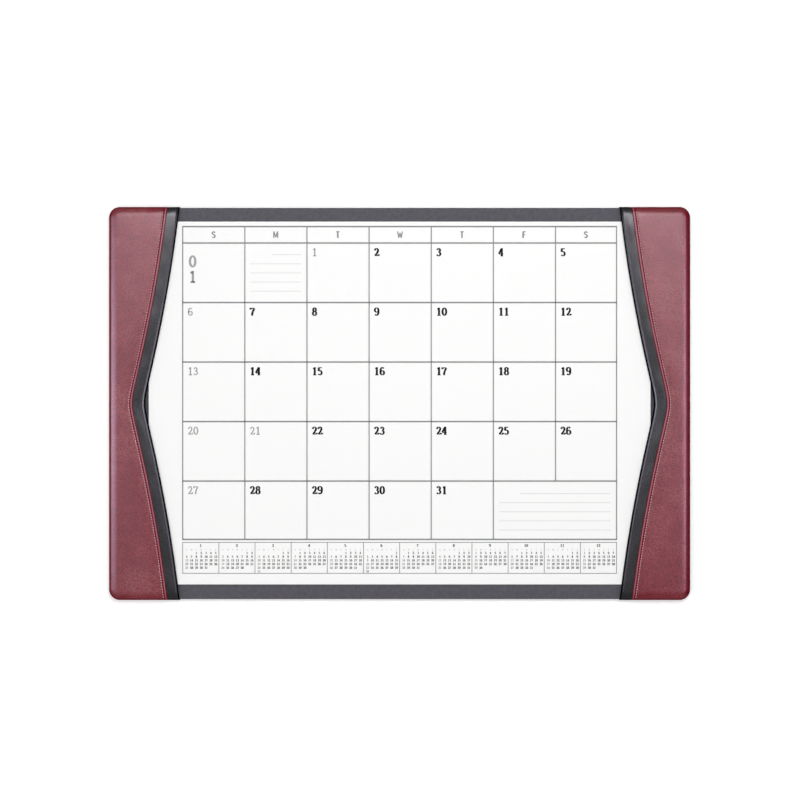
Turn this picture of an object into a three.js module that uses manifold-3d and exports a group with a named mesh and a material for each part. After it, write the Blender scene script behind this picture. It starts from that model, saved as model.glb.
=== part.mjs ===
// A leather desk pad with a sheet calendar. A covered board lies on a felt backing. A padded rail runs
// along each side: burgundy leather over foam and a stiff core, wrapped round the outer edge and both ends,
// with a narrow black trim band sewn along its inner edge. The rails narrow to a waist at mid depth.
// The calendar sheets lie on the board and are tucked under the rails' inner lips.
//
// Millimetres, +Z up. X runs across the pad, Y runs away from the reader, and the origin is at the centre
// of the footprint, on the desk.

import * as THREE from 'three';
import { mergeVertices } from 'three/addons/utils/BufferGeometryUtils.js';
import Module from 'manifold-3d';

const wasm = await Module();
wasm.setup();

// Overall size
const padWidth = 647.7;
const padDepth = 438.15;
const cornerRadius = 12;

// Thickness of each layer, from the desk up
const feltThickness = 0.8;
const leatherThickness = 1.0;
const facingThickness = 0.5;
const boardThickness = 2.5;
const cardThickness = 0.5;
const sheetStackThickness = 1.0;
const slipGap = 0.3;
const trimThickness = 0.8;
const lipThickness = 0.8;
const printThickness = 0.1;

// Clearance between curved or cut neighbours, and the extra corner radius of each layer inside another
const fitGap = 0.3;
const cornerEase = 2;

// Turn-ins on the underside, and the bare rim round the felt
const leatherTurnIn = 18;
const facingTurnIn = 15;
const feltMargin = 5;
const hemSoftening = 1;

// Rail outline: widths at the waist and at the two ends, measured in from the pad's side
const railWaistWidth = 40.9;
const railEndWidth = 79.0;
const panelWaistWidth = 26.1;
const panelEndWidth = 65.8;
const waistRounding = 0.048;
const flareEase = 0.28;

// Rail section: heights above the lip and the rolled outer edge
const edgeRollRadius = 11;
const edgeRollStart = 1.3;
const beadRadius = 2.4;
const beadRise = 0.45;
const dipFromEdge = 6;
const dipRise = 0.15;
const bandCrownFromEdge = 10.5;
const bandCrownRise = 0.9;
const panelCrownRise = 0.7;
const panelCrownRun = 16;
const hemWidth = 3.4;
const hemRise = 0.3;
const grooveWidth = 1.2;
const grooveDepth = 0.25;

// How the trim band is held: folded under the lip, and laid under the panel's hem
const lipFold = 8;
const bandOverlap = 7;

// Stiff core and foam
const coreInset = 4.2;
const coreEndInset = 9;
const pocketClearance = 2;
const spacerClearance = 1.5;
const foamFromEdge = 8.5;
const foamRamp = 1.8;

// Calendar sheets: margins from the pad's sides and from its near and far ends
const sheetSideMargin = 44.45;
const sheetNearMargin = 17.6;
const sheetFarMargin = 16.55;

// Printed month grid: seven day columns, a heading row and five week rows, the last with a double cell
const gridSideMargin = 37.8;
const gridFarMargin = 5.5;
const headingDepth = 18.3;
const dayColumns = 7;
const weekRows = 5;
const lastDayTrim = 1.2;
const lastWeekTrim = 1.3;
const gridLine = 1.2;

// Printed strip of twelve small months under the grid
const stripGap = 3.3;
const stripDepth = 34.5;
const stripNearMargin = 12.3;
const stripMonths = 12;
const stripLine = 0.9;

// Colours
const burgundy = new THREE.Color('#7a3a46');
const black = new THREE.Color('#2b2a2f');
const charcoal = new THREE.Color('#55545b');
const paperWhite = new THREE.Color('#f8f8f6');
const printGrey = new THREE.Color('#8c8c8c');
const cardGrey = new THREE.Color('#a39d92');
const boardBrown = new THREE.Color('#6b5a48');
const coreGrey = new THREE.Color('#8d8578');
const foamCream = new THREE.Color('#d9d2bd');
const feltBlack = new THREE.Color('#222224');

// Derived plan sizes
const halfWidth = padWidth / 2;
const halfDepth = padDepth / 2;
const sheetHalfWidth = halfWidth - sheetSideMargin;
const sheetNear = sheetNearMargin - halfDepth;
const sheetFar = halfDepth - sheetFarMargin;
const gridHalfWidth = sheetHalfWidth - gridSideMargin;
const gridFar = sheetFar - gridFarMargin;
const gridNear = sheetNear + stripNearMargin + stripDepth + stripGap;
const dayPitch = (2 * gridHalfWidth + lastDayTrim) / dayColumns;
const weekPitch = (gridFar - headingDepth - gridNear + lastWeekTrim) / weekRows;

// Derived heights
const turnInTop = feltThickness + leatherThickness;
const boardBottom = turnInTop + facingThickness;
const boardTop = boardBottom + boardThickness;
const facingTop = boardTop + facingThickness;
const sheetBottom = facingTop + cardThickness;
const sheetTop = sheetBottom + sheetStackThickness;
const foldBottom = sheetTop + slipGap;
const lipBottom = foldBottom + trimThickness;
const lipTop = lipBottom + lipThickness;
const bandFloor = lipTop + fitGap + trimThickness;
const rollStart = boardBottom + edgeRollStart;
const seamLevel = bandFloor + bandCrownRise + fitGap + leatherThickness;

const leatherMaterial = { roughness: 0.45, metalness: 0 };
const paperMaterial = { roughness: 0.85, metalness: 0 };

// Shared helpers

function namedMesh(name, geometry, color, finish) {
  const mesh = new THREE.Mesh(geometry, new THREE.MeshStandardMaterial({ color, ...finish }));
  mesh.name = name;
  return mesh;
}

function toSolid(geometry) {
  const bare = geometry.clone();
  bare.deleteAttribute('normal');
  bare.deleteAttribute('uv');
  const merged = mergeVertices(bare, 1e-4);
  const mesh = new wasm.Mesh({
    numProp: 3,
    vertProperties: new Float32Array(merged.attributes.position.array),
    triVerts: new Uint32Array(merged.index.array),
  });
  return new wasm.Manifold(mesh);
}

function toGeometry(solid) {
  const mesh = solid.getMesh();
  const geometry = new THREE.BufferGeometry();
  geometry.setAttribute('position', new THREE.BufferAttribute(new Float32Array(mesh.vertProperties), 3));
  geometry.setIndex(new THREE.BufferAttribute(new Uint32Array(mesh.triVerts), 1));
  const flat = geometry.toNonIndexed();
  flat.computeVertexNormals();
  return flat;
}

function subtractAll(solid, cutters) {
  return cutters.reduce((rest, cutter) => rest.subtract(cutter), solid);
}

function block(x0, x1, y0, y1, z0, z1) {
  const geometry = new THREE.BoxGeometry(x1 - x0, y1 - y0, z1 - z0);
  geometry.translate((x0 + x1) / 2, (y0 + y1) / 2, (z0 + z1) / 2);
  return geometry;
}

function roundedPlate(halfX, halfY, radius, z0, z1) {
  const shape = new THREE.Shape();
  shape.moveTo(halfX, radius - halfY);
  shape.lineTo(halfX, halfY - radius);
  shape.absarc(halfX - radius, halfY - radius, radius, 0, Math.PI / 2);
  shape.lineTo(radius - halfX, halfY);
  shape.absarc(radius - halfX, halfY - radius, radius, Math.PI / 2, Math.PI);
  shape.lineTo(-halfX, radius - halfY);
  shape.absarc(radius - halfX, radius - halfY, radius, Math.PI, 1.5 * Math.PI);
  shape.lineTo(halfX - radius, -halfY);
  shape.absarc(halfX - radius, radius - halfY, radius, 1.5 * Math.PI, 2 * Math.PI);
  const settings = { depth: z1 - z0, bevelEnabled: false, curveSegments: 7 };
  const geometry = new THREE.ExtrudeGeometry(shape, settings);
  geometry.translate(0, 0, z0);
  return geometry;
}

// A closed body between two flat or curved faces over the same grid of rows and columns. Each level is a
// function of row and column: the first is a flat floor, the last is the top, and those between are rings.
function stackedBody(rows, columns, levels) {
  const positions = [];
  const faces = [];
  const rim = [];
  for (let column = 0; column < columns; column += 1) rim.push([0, column]);
  for (let row = 1; row < rows; row += 1) rim.push([row, columns - 1]);
  for (let column = columns - 2; column >= 0; column -= 1) rim.push([rows - 1, column]);
  for (let row = rows - 2; row > 0; row -= 1) rim.push([row, 0]);

  const top = levels[levels.length - 1];
  const topIndex = (row, column) => row * columns + column;
  for (let row = 0; row < rows; row += 1) {
    for (let column = 0; column < columns; column += 1) positions.push(...top(row, column));
  }
  for (let row = 0; row < rows - 1; row += 1) {
    for (let column = 0; column < columns - 1; column += 1) {
      const a = topIndex(row, column);
      const b = topIndex(row, column + 1);
      const c = topIndex(row + 1, column + 1);
      const d = topIndex(row + 1, column);
      faces.push(a, b, c, a, c, d);
    }
  }
  let above = rim.map(([row, column]) => topIndex(row, column));
  for (let level = levels.length - 2; level >= 0; level -= 1) {
    const start = positions.length / 3;
    rim.forEach(([row, column]) => positions.push(...levels[level](row, column)));
    const below = rim.map((unused, index) => start + index);
    rim.forEach((unused, index) => {
      const next = (index + 1) % rim.length;
      faces.push(below[index], below[next], above[next], below[index], above[next], above[index]);
    });
    above = below;
  }
  const outline = above.map((index) => new THREE.Vector2(positions[index * 3], positions[index * 3 + 1]));
  THREE.ShapeUtils.triangulateShape(outline, []).forEach(([a, b, c]) => {
    faces.push(above[a], above[c], above[b]);
  });
  const geometry = new THREE.BufferGeometry();
  geometry.setAttribute('position', new THREE.Float32BufferAttribute(positions, 3));
  geometry.setIndex(faces);
  return geometry;
}

// Rail curves, for the rail on the +X side

// Zero at the waist, one at the ends: a hyperbola's rounded V that eases off towards the ends.
function flare(y) {
  const along = Math.abs(y) / halfDepth;
  const rise = (u) => Math.hypot(u, waistRounding) - waistRounding - flareEase * u * u;
  return rise(along) / rise(1);
}

function lipEdge(y) {
  return halfWidth - railWaistWidth - (railEndWidth - railWaistWidth) * flare(y);
}

function seamEdge(y) {
  return halfWidth - panelWaistWidth - (panelEndWidth - panelWaistWidth) * flare(y);
}

// The pad's side, with its rounded corners, moved inwards by an inset.
function sideEdge(y, inset) {
  const radius = cornerRadius - inset;
  const past = Math.abs(y) - (halfDepth - cornerRadius);
  if (past <= 0) return halfWidth - inset;
  return halfWidth - cornerRadius + Math.sqrt(Math.max(0, radius * radius - past * past));
}

// Distance in from the pad's outline.
function rimDistance(x, y) {
  const acrossX = x - (halfWidth - cornerRadius);
  const acrossY = Math.abs(y) - (halfDepth - cornerRadius);
  if (acrossX > 0 && acrossY > 0) return cornerRadius - Math.hypot(acrossX, acrossY);
  return cornerRadius - Math.max(acrossX, acrossY);
}

function ease(from, to, value) {
  return THREE.MathUtils.smoothstep(value, from, to);
}

// A quarter ellipse: a level falls over the rolled edge to the roll's start.
function rolled(level, x, y) {
  const share = Math.min(1, Math.max(0, rimDistance(x, y) / edgeRollRadius));
  return rollStart + (level - rollStart) * Math.sqrt(1 - (1 - share) * (1 - share));
}

// Smooth top of the burgundy leather: a low crown that eases down to the seam.
function panelBase(x, y) {
  return seamLevel + panelCrownRise * ease(0, panelCrownRun, x - seamEdge(y));
}

// The same with the raised hem and the groove that the seam's thread pulls in.
function panelDressed(x, y) {
  const fromSeam = x - seamEdge(y);
  const hem = fromSeam < hemWidth ? hemRise * Math.sin((Math.PI * fromSeam) / hemWidth) : 0;
  const inGroove = (fromSeam - hemWidth - grooveWidth / 2) / (grooveWidth / 2);
  const groove = Math.abs(inGroove) < 1 ? grooveDepth * (1 - inGroove * inGroove) : 0;
  return panelBase(x, y) + hem - groove;
}

// Top of the black band: a rolled bead at the lip, a shallow dip, then a crown up to the seam.
function bandTop(x, y) {
  const fromLip = x - lipEdge(y);
  const beadTop = bandFloor + beadRise;
  if (fromLip < beadRadius) {
    const share = 1 - Math.max(0, fromLip) / beadRadius;
    const beadFoot = (lipBottom + lipTop) / 2;
    return beadFoot + (beadTop - beadFoot) * Math.sqrt(1 - share * share);
  }
  if (fromLip < dipFromEdge) {
    return beadTop + (dipRise - beadRise) * ease(beadRadius, dipFromEdge, fromLip);
  }
  return bandFloor + dipRise + (bandCrownRise - dipRise) * ease(dipFromEdge, bandCrownFromEdge, fromLip);
}

// Top of the foam: under the panel, lower under the band and under the band's hidden overlap.
function foamRampStart(y) {
  return seamEdge(y) + bandOverlap + fitGap;
}

function foamTop(x, y) {
  const underPanel = rolled(panelBase(x, y), x, y) - leatherThickness - fitGap;
  const underBand = rolled(bandTop(x, y), x, y) - trimThickness - fitGap;
  const rampStart = foamRampStart(y);
  return underBand + (underPanel - underBand) * ease(rampStart, rampStart + foamRamp, x);
}

// Rows along the rail: close together over the rolled ends and round the waist.
const endSteps = [0, 0.4, 1.5, 3.4, 6, 9, 12.5, 17];
const waistSteps = [0, 9, 18, 29, 45, 70, 105, 145, 182];

function rowPlaces(inset) {
  const fromEnd = endSteps.map((step) => halfDepth - inset - step);
  const lastWaistStep = fromEnd[fromEnd.length - 1] - 5;
  const half = [...waistSteps.filter((step) => step < lastWaistStep), ...fromEnd.reverse()];
  return [...half.slice(1).reverse().map((y) => -y), ...half];
}

// Places across a row: a list from the left, a list ending at the side, and even steps between them.
function acrossRow(fromLeft, between, toSide) {
  const first = fromLeft[fromLeft.length - 1];
  const stretch = toSide[0] - first;
  const middle = [];
  for (let step = 1; step <= between; step += 1) middle.push(first + (stretch * step) / (between + 1));
  return [...fromLeft, ...middle, ...toSide];
}

// Places that close up towards the pad's side, over its rolled edge.
function sidePlaces(y, inset) {
  const side = sideEdge(y, inset);
  return [...endSteps].reverse().slice(1).map((step) => side - step);
}

// A body over rows of places, with a curved top and rings under its rim. Each ring is an inset from the
// rim and a height.
function railBody({ places, inset, top, rings }) {
  const rows = rowPlaces(inset);
  const topPlaces = rows.map((y) => places(y, inset));
  const topLevel = (row, column) => {
    const x = topPlaces[row][column];
    return [x, rows[row], top(x, rows[row])];
  };
  const ringLevels = rings.map(({ inward, height }) => {
    const ringRows = rows.map((y) => (y * (halfDepth - inset - inward)) / (halfDepth - inset));
    const ringPlaces = ringRows.map((y) => places(y, inset + inward));
    return (row, column) => [ringPlaces[row][column], ringRows[row], height];
  });
  return stackedBody(rows.length, topPlaces[0].length, [...ringLevels, topLevel]);
}

// An upright prism over the plan between two edge functions, from one height to another.
function railPrism(leftEdge, rightEdge, reach, z0, z1) {
  const rows = rowPlaces(halfDepth - reach);
  const shape = new THREE.Shape();
  rows.forEach((y, index) => {
    if (index === 0) shape.moveTo(rightEdge(y), y);
    else shape.lineTo(rightEdge(y), y);
  });
  [...rows].reverse().forEach((y) => shape.lineTo(leftEdge(y), y));
  shape.closePath();
  const geometry = new THREE.ExtrudeGeometry(shape, { depth: z1 - z0, bevelEnabled: false });
  geometry.translate(0, 0, z0);
  return geometry;
}

const hemSteps = [0, hemWidth / 4, hemWidth / 2, hemWidth];
const grooveSteps = [hemWidth + grooveWidth / 2, hemWidth + grooveWidth];
const seamSteps = [...hemSteps, ...grooveSteps];
const wrapRings = [
  { inward: hemSoftening, height: feltThickness },
  { inward: 0.3 * hemSoftening, height: feltThickness + 0.3 * hemSoftening },
  { inward: 0, height: feltThickness + hemSoftening },
];
const openPast = 2;
const farInside = lipEdge(halfDepth) - 20;
const innerReach = halfDepth - leatherThickness;
const windowReach = halfDepth - leatherTurnIn;
const slotReach = halfDepth - 0.3 * edgeRollRadius;

// Burgundy panel: one sheet of leather from the seam over the crown, round the side and both ends, and
// turned in under the board.
function leatherPanel() {
  const outer = railBody({
    places: (y, inset) => acrossRow(seamSteps.map((step) => seamEdge(y) + step), 3, sidePlaces(y, inset)),
    inset: 0,
    top: (x, y) => rolled(panelDressed(x, y), x, y),
    rings: wrapRings,
  });
  const hollow = railBody({
    places: (y, inset) => acrossRow([seamEdge(y) - openPast, seamEdge(y)], 3, sidePlaces(y, inset)),
    inset: leatherThickness,
    top: (x, y) => rolled(panelBase(x, y), x, y) - leatherThickness,
    rings: [{ inward: 0, height: turnInTop }],
  });
  const opening = block(farInside, halfWidth - leatherTurnIn, -windowReach, windowReach, 0, boardBottom);
  return subtractAll(toSolid(outer), [toSolid(hollow), toSolid(opening)]);
}

// Black trim band: the bead along the lip, the fold under it, the crown up to the seam, the hidden overlap
// under the panel, and both ends wrapped over the board like the panel's.
function trimBand() {
  const overlapEdge = (y) => seamEdge(y) + bandOverlap;
  const halfCrown = (dipFromEdge + bandCrownFromEdge) / 2;
  const beadSteps = [0, 0.12 * beadRadius, 0.45 * beadRadius, beadRadius, (beadRadius + dipFromEdge) / 2];
  const bandSteps = [...beadSteps, dipFromEdge, halfCrown, bandCrownFromEdge];
  const linedSteps = [trimThickness, 0.75 * beadRadius, dipFromEdge, bandCrownFromEdge];
  const outer = railBody({
    places: (y) => [...bandSteps.map((step) => lipEdge(y) + step), overlapEdge(y)],
    inset: 0,
    top: (x, y) => rolled(bandTop(x, y), x, y),
    rings: wrapRings,
  });
  const hollow = railBody({
    places: (y) => [...linedSteps.map((step) => lipEdge(y) + step), overlapEdge(y) + openPast],
    inset: leatherThickness,
    top: (x, y) => rolled(bandTop(x, y), x, y) - trimThickness,
    rings: [{ inward: 0, height: turnInTop }],
  });
  const boardSpace = block(farInside, padWidth, -innerReach, innerReach, turnInTop, facingTop);
  const slot = block(farInside, padWidth, -slotReach, slotReach, turnInTop, foldBottom);
  const opening = block(farInside, padWidth, -windowReach, windowReach, 0, boardBottom);
  const foldStart = (y) => lipEdge(y) + trimThickness / 4;
  const fold = railPrism(foldStart, (y) => lipEdge(y) + lipFold, slotReach + fitGap, foldBottom, lipBottom);
  const buttEnds = [-1, 1].map((end) => {
    const shape = new THREE.Shape();
    const near = end * (windowReach - fitGap);
    const far = end * (halfDepth + leatherThickness);
    shape.moveTo(seamEdge(near) - fitGap, near);
    shape.lineTo(seamEdge(halfDepth) - fitGap, far);
    shape.lineTo(padWidth, far);
    shape.lineTo(padWidth, near);
    shape.closePath();
    return toSolid(new THREE.ExtrudeGeometry(shape, { depth: padDepth, bevelEnabled: false }));
  });
  const envelope = toSolid(outer);
  const shell = subtractAll(envelope, [hollow, boardSpace, slot, opening].map(toSolid));
  return subtractAll(shell.add(envelope.intersect(toSolid(fold))), buttEnds);
}

// Stiff core: a spacer that makes the sheets' pocket, and over it the lip that the band is folded round.
function coreOutline(y) {
  return Math.min(halfWidth - coreInset, sideEdge(y, coreInset));
}

function pocketWall(y) {
  return Math.max(sheetHalfWidth + pocketClearance, lipEdge(y) + lipFold + spacerClearance);
}

function railCore() {
  const reach = halfDepth - coreEndInset;
  const spacer = railPrism(pocketWall, coreOutline, reach, facingTop, lipTop);
  const lip = railPrism((y) => lipEdge(y) + trimThickness + fitGap, coreOutline, reach, lipBottom, lipTop);
  return toSolid(spacer).add(toSolid(lip));
}

// Foam: fills the crown over the core and laps round the core's outer edge down to the board.
function railPadding() {
  const overBand = (y) => [lipEdge(y) + foamFromEdge, lipEdge(y) + bandCrownFromEdge, foamRampStart(y)];
  const foam = railBody({
    places: (y, inset) => acrossRow([...overBand(y), foamRampStart(y) + foamRamp], 2, sidePlaces(y, inset)),
    inset: leatherThickness + fitGap,
    top: foamTop,
    rings: [{ inward: 0, height: facingTop }],
  });
  const coreSpace = railPrism(
    () => farInside,
    (y) => sideEdge(y, coreInset - fitGap),
    halfDepth - coreEndInset + fitGap,
    0,
    lipTop,
  );
  return toSolid(foam).subtract(toSolid(coreSpace));
}

// The same solid on the other side of the pad.
function mirrored(geometry) {
  const copy = geometry.clone();
  copy.scale(-1, 1, 1);
  const place = copy.attributes.position;
  for (let corner = 0; corner < place.count; corner += 3) {
    const second = new THREE.Vector3().fromBufferAttribute(place, corner + 1);
    const third = new THREE.Vector3().fromBufferAttribute(place, corner + 2);
    place.setXYZ(corner + 1, third.x, third.y, third.z);
    place.setXYZ(corner + 2, second.x, second.y, second.z);
  }
  copy.computeVertexNormals();
  return copy;
}

// Covered board: a stiff board, the facing wrapped round all four edges, and a stepped felt backing.

function baseBoard() {
  const inset = leatherThickness + facingThickness;
  const radius = cornerRadius - inset + 2 * cornerEase;
  return roundedPlate(halfWidth - inset, halfDepth - inset, radius, boardBottom, boardTop);
}

function boardFacing() {
  const inset = leatherThickness;
  const radius = cornerRadius - inset + cornerEase;
  const wrap = roundedPlate(halfWidth - inset, halfDepth - inset, radius, turnInTop, facingTop);
  const inner = inset + facingThickness;
  const innerRadius = radius - facingThickness;
  const cavity = roundedPlate(halfWidth - inner, halfDepth - inner, innerRadius, boardBottom, boardTop);
  const windowX = halfWidth - inset - facingTurnIn;
  const windowY = halfDepth - inset - facingTurnIn;
  const opening = block(-windowX, windowX, -windowY, windowY, 0, boardBottom + boardThickness / 2);
  return toGeometry(subtractAll(toSolid(wrap), [toSolid(cavity), toSolid(opening)]));
}

function feltBacking() {
  const plateX = halfWidth - feltMargin;
  const plateY = halfDepth - feltMargin;
  const plate = roundedPlate(plateX, plateY, cornerRadius - feltMargin, 0, feltThickness);
  const besideX = halfWidth - leatherTurnIn - fitGap;
  const besideY = halfDepth - leatherTurnIn - fitGap;
  const besidePanels = block(-besideX, besideX, -besideY, besideY, 0, turnInTop);
  const betweenX = lipEdge(halfDepth) - fitGap;
  const betweenRails = block(-betweenX, betweenX, -plateY, plateY, 0, turnInTop);
  const fieldX = Math.min(besideX, halfWidth - leatherThickness - facingTurnIn - fitGap);
  const fieldY = halfDepth - leatherThickness - facingTurnIn - fitGap;
  const fieldBetween = block(-betweenX, betweenX, -fieldY, fieldY, 0, boardBottom);
  const fieldBeside = block(-fieldX, fieldX, -besideY, besideY, 0, boardBottom);
  const steps = [besidePanels, betweenRails, fieldBetween, fieldBeside];
  return toGeometry(steps.reduce((felt, step) => felt.add(toSolid(step)), toSolid(plate)));
}

// Calendar: a stack of sheets on a card, with its printed lines as thin flat lattices.

function sheetPlate(z0, z1) {
  return block(-sheetHalfWidth, sheetHalfWidth, sheetNear, sheetFar, z0, z1);
}

// A flat lattice of crossing lines, given by the middles of its upright and level lines. A bare test says
// which of the stretches of line between two crossings are left out. Spans with an even number are lines.
function lattice(line, uprights, levels, isBare) {
  const edges = (middles) => middles.flatMap((middle) => [middle - line / 2, middle + line / 2]);
  const xs = edges(uprights);
  const ys = edges(levels);
  const isInked = (column, row) => {
    const inside = column >= 0 && row >= 0 && column < xs.length - 1 && row < ys.length - 1;
    return inside && (column % 2 === 0 || row % 2 === 0) && !isBare(column, row);
  };
  const positions = [];
  const quad = (...corners) => {
    const [a, b, c, d] = corners.map(([x, y, z]) => [x, y, sheetTop + z * printThickness]);
    positions.push(...a, ...b, ...c, ...a, ...c, ...d);
  };
  for (let row = 0; row < ys.length - 1; row += 1) {
    for (let column = 0; column < xs.length - 1; column += 1) {
      if (isInked(column, row)) {
        const [x0, x1, y0, y1] = [xs[column], xs[column + 1], ys[row], ys[row + 1]];
        quad([x0, y0, 1], [x1, y0, 1], [x1, y1, 1], [x0, y1, 1]);
        quad([x0, y0, 0], [x0, y1, 0], [x1, y1, 0], [x1, y0, 0]);
        if (!isInked(column, row - 1)) quad([x0, y0, 0], [x1, y0, 0], [x1, y0, 1], [x0, y0, 1]);
        if (!isInked(column, row + 1)) quad([x1, y1, 0], [x0, y1, 0], [x0, y1, 1], [x1, y1, 1]);
        if (!isInked(column - 1, row)) quad([x0, y1, 0], [x0, y0, 0], [x0, y0, 1], [x0, y1, 1]);
        if (!isInked(column + 1, row)) quad([x1, y0, 0], [x1, y1, 0], [x1, y1, 1], [x1, y0, 1]);
      }
    }
  }
  const geometry = new THREE.BufferGeometry();
  geometry.setAttribute('position', new THREE.Float32BufferAttribute(positions, 3));
  geometry.computeVertexNormals();
  return geometry;
}

function printedGrid() {
  const uprights = [];
  for (let day = 0; day < dayColumns; day += 1) uprights.push(day * dayPitch - gridHalfWidth);
  uprights.push(gridHalfWidth);
  const levels = [gridNear];
  for (let week = weekRows - 1; week >= 0; week -= 1) levels.push(gridFar - headingDepth - week * weekPitch);
  levels.push(gridFar);
  const lastUpright = 2 * (dayColumns - 1);
  return lattice(gridLine, uprights, levels, (column, row) => column === lastUpright && row === 1);
}

function monthStripPrint() {
  const far = gridNear - stripGap;
  const uprights = [];
  for (let month = 0; month <= stripMonths; month += 1) {
    uprights.push((2 * gridHalfWidth * month) / stripMonths - gridHalfWidth);
  }
  return lattice(stripLine, uprights, [far - stripDepth, far], () => false);
}

// Assembly

const deskPad = new THREE.Group();
deskPad.add(namedMesh('felt_backing', feltBacking(), feltBlack, { roughness: 0.95, metalness: 0 }));
deskPad.add(namedMesh('base_board', baseBoard(), boardBrown, paperMaterial));
deskPad.add(namedMesh('board_facing', boardFacing(), charcoal, { roughness: 0.7, metalness: 0 }));
deskPad.add(namedMesh('backing_card', sheetPlate(facingTop, sheetBottom), cardGrey, paperMaterial));
deskPad.add(namedMesh('calendar_pad', sheetPlate(sheetBottom, sheetTop), paperWhite, paperMaterial));
deskPad.add(namedMesh('printed_grid', printedGrid(), printGrey, paperMaterial));
deskPad.add(namedMesh('month_strip_print', monthStripPrint(), printGrey, paperMaterial));

const railPieces = [
  ['rail_core', toGeometry(railCore()), coreGrey, paperMaterial],
  ['rail_padding', toGeometry(railPadding()), foamCream, { roughness: 0.9, metalness: 0 }],
  ['leather_panel', toGeometry(leatherPanel()), burgundy, leatherMaterial],
  ['trim_band', toGeometry(trimBand()), black, leatherMaterial],
];
railPieces.forEach(([name, geometry, color, finish]) => {
  deskPad.add(namedMesh(`right_${name}`, geometry, color, finish));
  deskPad.add(namedMesh(`left_${name}`, mirrored(geometry), color, finish));
});

export default deskPad;
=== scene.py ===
# %% [markdown]
# # A leather desk pad with a month calendar
#
# The pad is a flat covered board with a padded leather rail down each side. The rails are burgundy with a
# narrow black band along the inner edge, and a stack of calendar sheets is tucked under them. The model's
# solids are loaded first. They give every size, and each finished piece below takes its place from them.

import bpy
import numpy as np
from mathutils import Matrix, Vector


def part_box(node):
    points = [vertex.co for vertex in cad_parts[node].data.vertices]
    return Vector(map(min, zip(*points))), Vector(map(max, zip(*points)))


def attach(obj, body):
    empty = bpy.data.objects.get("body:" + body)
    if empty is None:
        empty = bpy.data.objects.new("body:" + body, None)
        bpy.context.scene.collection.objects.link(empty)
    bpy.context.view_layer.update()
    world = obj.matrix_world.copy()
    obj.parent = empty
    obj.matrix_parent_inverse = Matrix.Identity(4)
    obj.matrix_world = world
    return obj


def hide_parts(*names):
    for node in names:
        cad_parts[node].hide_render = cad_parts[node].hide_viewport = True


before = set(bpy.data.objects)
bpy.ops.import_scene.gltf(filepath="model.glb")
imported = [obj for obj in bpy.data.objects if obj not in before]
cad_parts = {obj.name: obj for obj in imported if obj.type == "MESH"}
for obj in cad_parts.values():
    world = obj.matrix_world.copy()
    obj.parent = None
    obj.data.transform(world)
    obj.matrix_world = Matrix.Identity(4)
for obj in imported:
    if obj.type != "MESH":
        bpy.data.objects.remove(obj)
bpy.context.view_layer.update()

# %% [markdown]
# ## Sizes
#
# Everything below is worked out in millimetres, because leather work is measured that way, and is turned to
# metres when a mesh is made. Heights and the outline are read from the solids, so that a finished piece
# lies exactly where its solid lies.

# %% Read sizes from the frame
MM = 1000.0


def box_mm(node):
    """Lowest and highest corner of a CAD node in millimetres."""
    low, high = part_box(node)
    return np.array(low) * MM, np.array(high) * MM


panel_low, panel_high = box_mm("right_leather_panel")
band_low, band_high = box_mm("right_trim_band")
facing_low, facing_high = box_mm("board_facing")
sheet_low, sheet_high = box_mm("calendar_pad")
grid_low, grid_high = box_mm("printed_grid")
strip_low, strip_high = box_mm("month_strip_print")

HALF_WIDTH = panel_high[0]
HALF_DEPTH = panel_high[1]
UNDERSIDE = panel_low[2]
CROWN_TOP = panel_high[2]
BAND_TOP = band_high[2]
BOARD_TOP = facing_high[2]
SHEET_TOP = sheet_high[2]
print("Pad", 2 * HALF_WIDTH, "by", 2 * HALF_DEPTH, "mm, rails", CROWN_TOP, "mm high")

# %% [markdown]
# ## The rail's outline
#
# Seen from above, each rail narrows from both ends to a waist. A rounded V is what a hyperbola draws: far
# from the waist it runs straight, and at the waist it turns with a soft radius. The same curve with other
# widths gives the lip over the sheets and the seam between the two leathers.

# %% Rail curves
CORNER_RADIUS = 12.0
WAIST_ROUNDING = 0.048
FLARE_EASE = 0.28
LIP_WIDTHS = (40.9, 79.0)
SEAM_WIDTHS = (26.9, 65.8)


def flare(y):
    """0 at the waist and 1 at the ends: a hyperbola less a share of the square, scaled to end at 1."""
    def rise(u):
        return np.hypot(u, WAIST_ROUNDING) - WAIST_ROUNDING - FLARE_EASE * u * u
    return rise(np.abs(y) / HALF_DEPTH) / rise(1.0)


def rail_curve(y, widths):
    """Distance from the pad's middle: half the pad less a width that flares from the waist to the ends."""
    waist, end = widths
    return HALF_WIDTH - waist - (end - waist) * flare(y)


def side_edge(y):
    """The pad's side, drawn in along a quarter circle at each corner."""
    past = np.clip(np.abs(y) - (HALF_DEPTH - CORNER_RADIUS), 0, CORNER_RADIUS)
    return HALF_WIDTH - CORNER_RADIUS + np.sqrt(CORNER_RADIUS ** 2 - past ** 2)


print("A rail is", LIP_WIDTHS[0], "mm wide at the waist and", LIP_WIDTHS[1], "mm at the ends")

# %% [markdown]
# ## Rolled edges
#
# Leather that is drawn over foam and round a board comes down in a roll, fuller than a plain quarter circle.
# A Bevel modifier would round the edge evenly, but the roll has to meet the crown without a line. So every
# height is brought down by its distance from the outline, and the grid's lines close up where it bends.

# %% Roll and easing
EDGE_ROLL = 11.0
ROLL_FULLNESS = 2.4
ROLL_START = facing_low[2] + 1.8


def rim_distance(x, y):
    """Distance in from the outline: the radius less the distance from the corner's centre or edge line."""
    across = x - (HALF_WIDTH - CORNER_RADIUS)
    along = np.abs(y) - (HALF_DEPTH - CORNER_RADIUS)
    round_part = CORNER_RADIUS - np.hypot(np.maximum(across, 0), np.maximum(along, 0))
    straight_part = CORNER_RADIUS - np.maximum(across, along)
    return np.where((across > 0) & (along > 0), round_part, straight_part)


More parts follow.
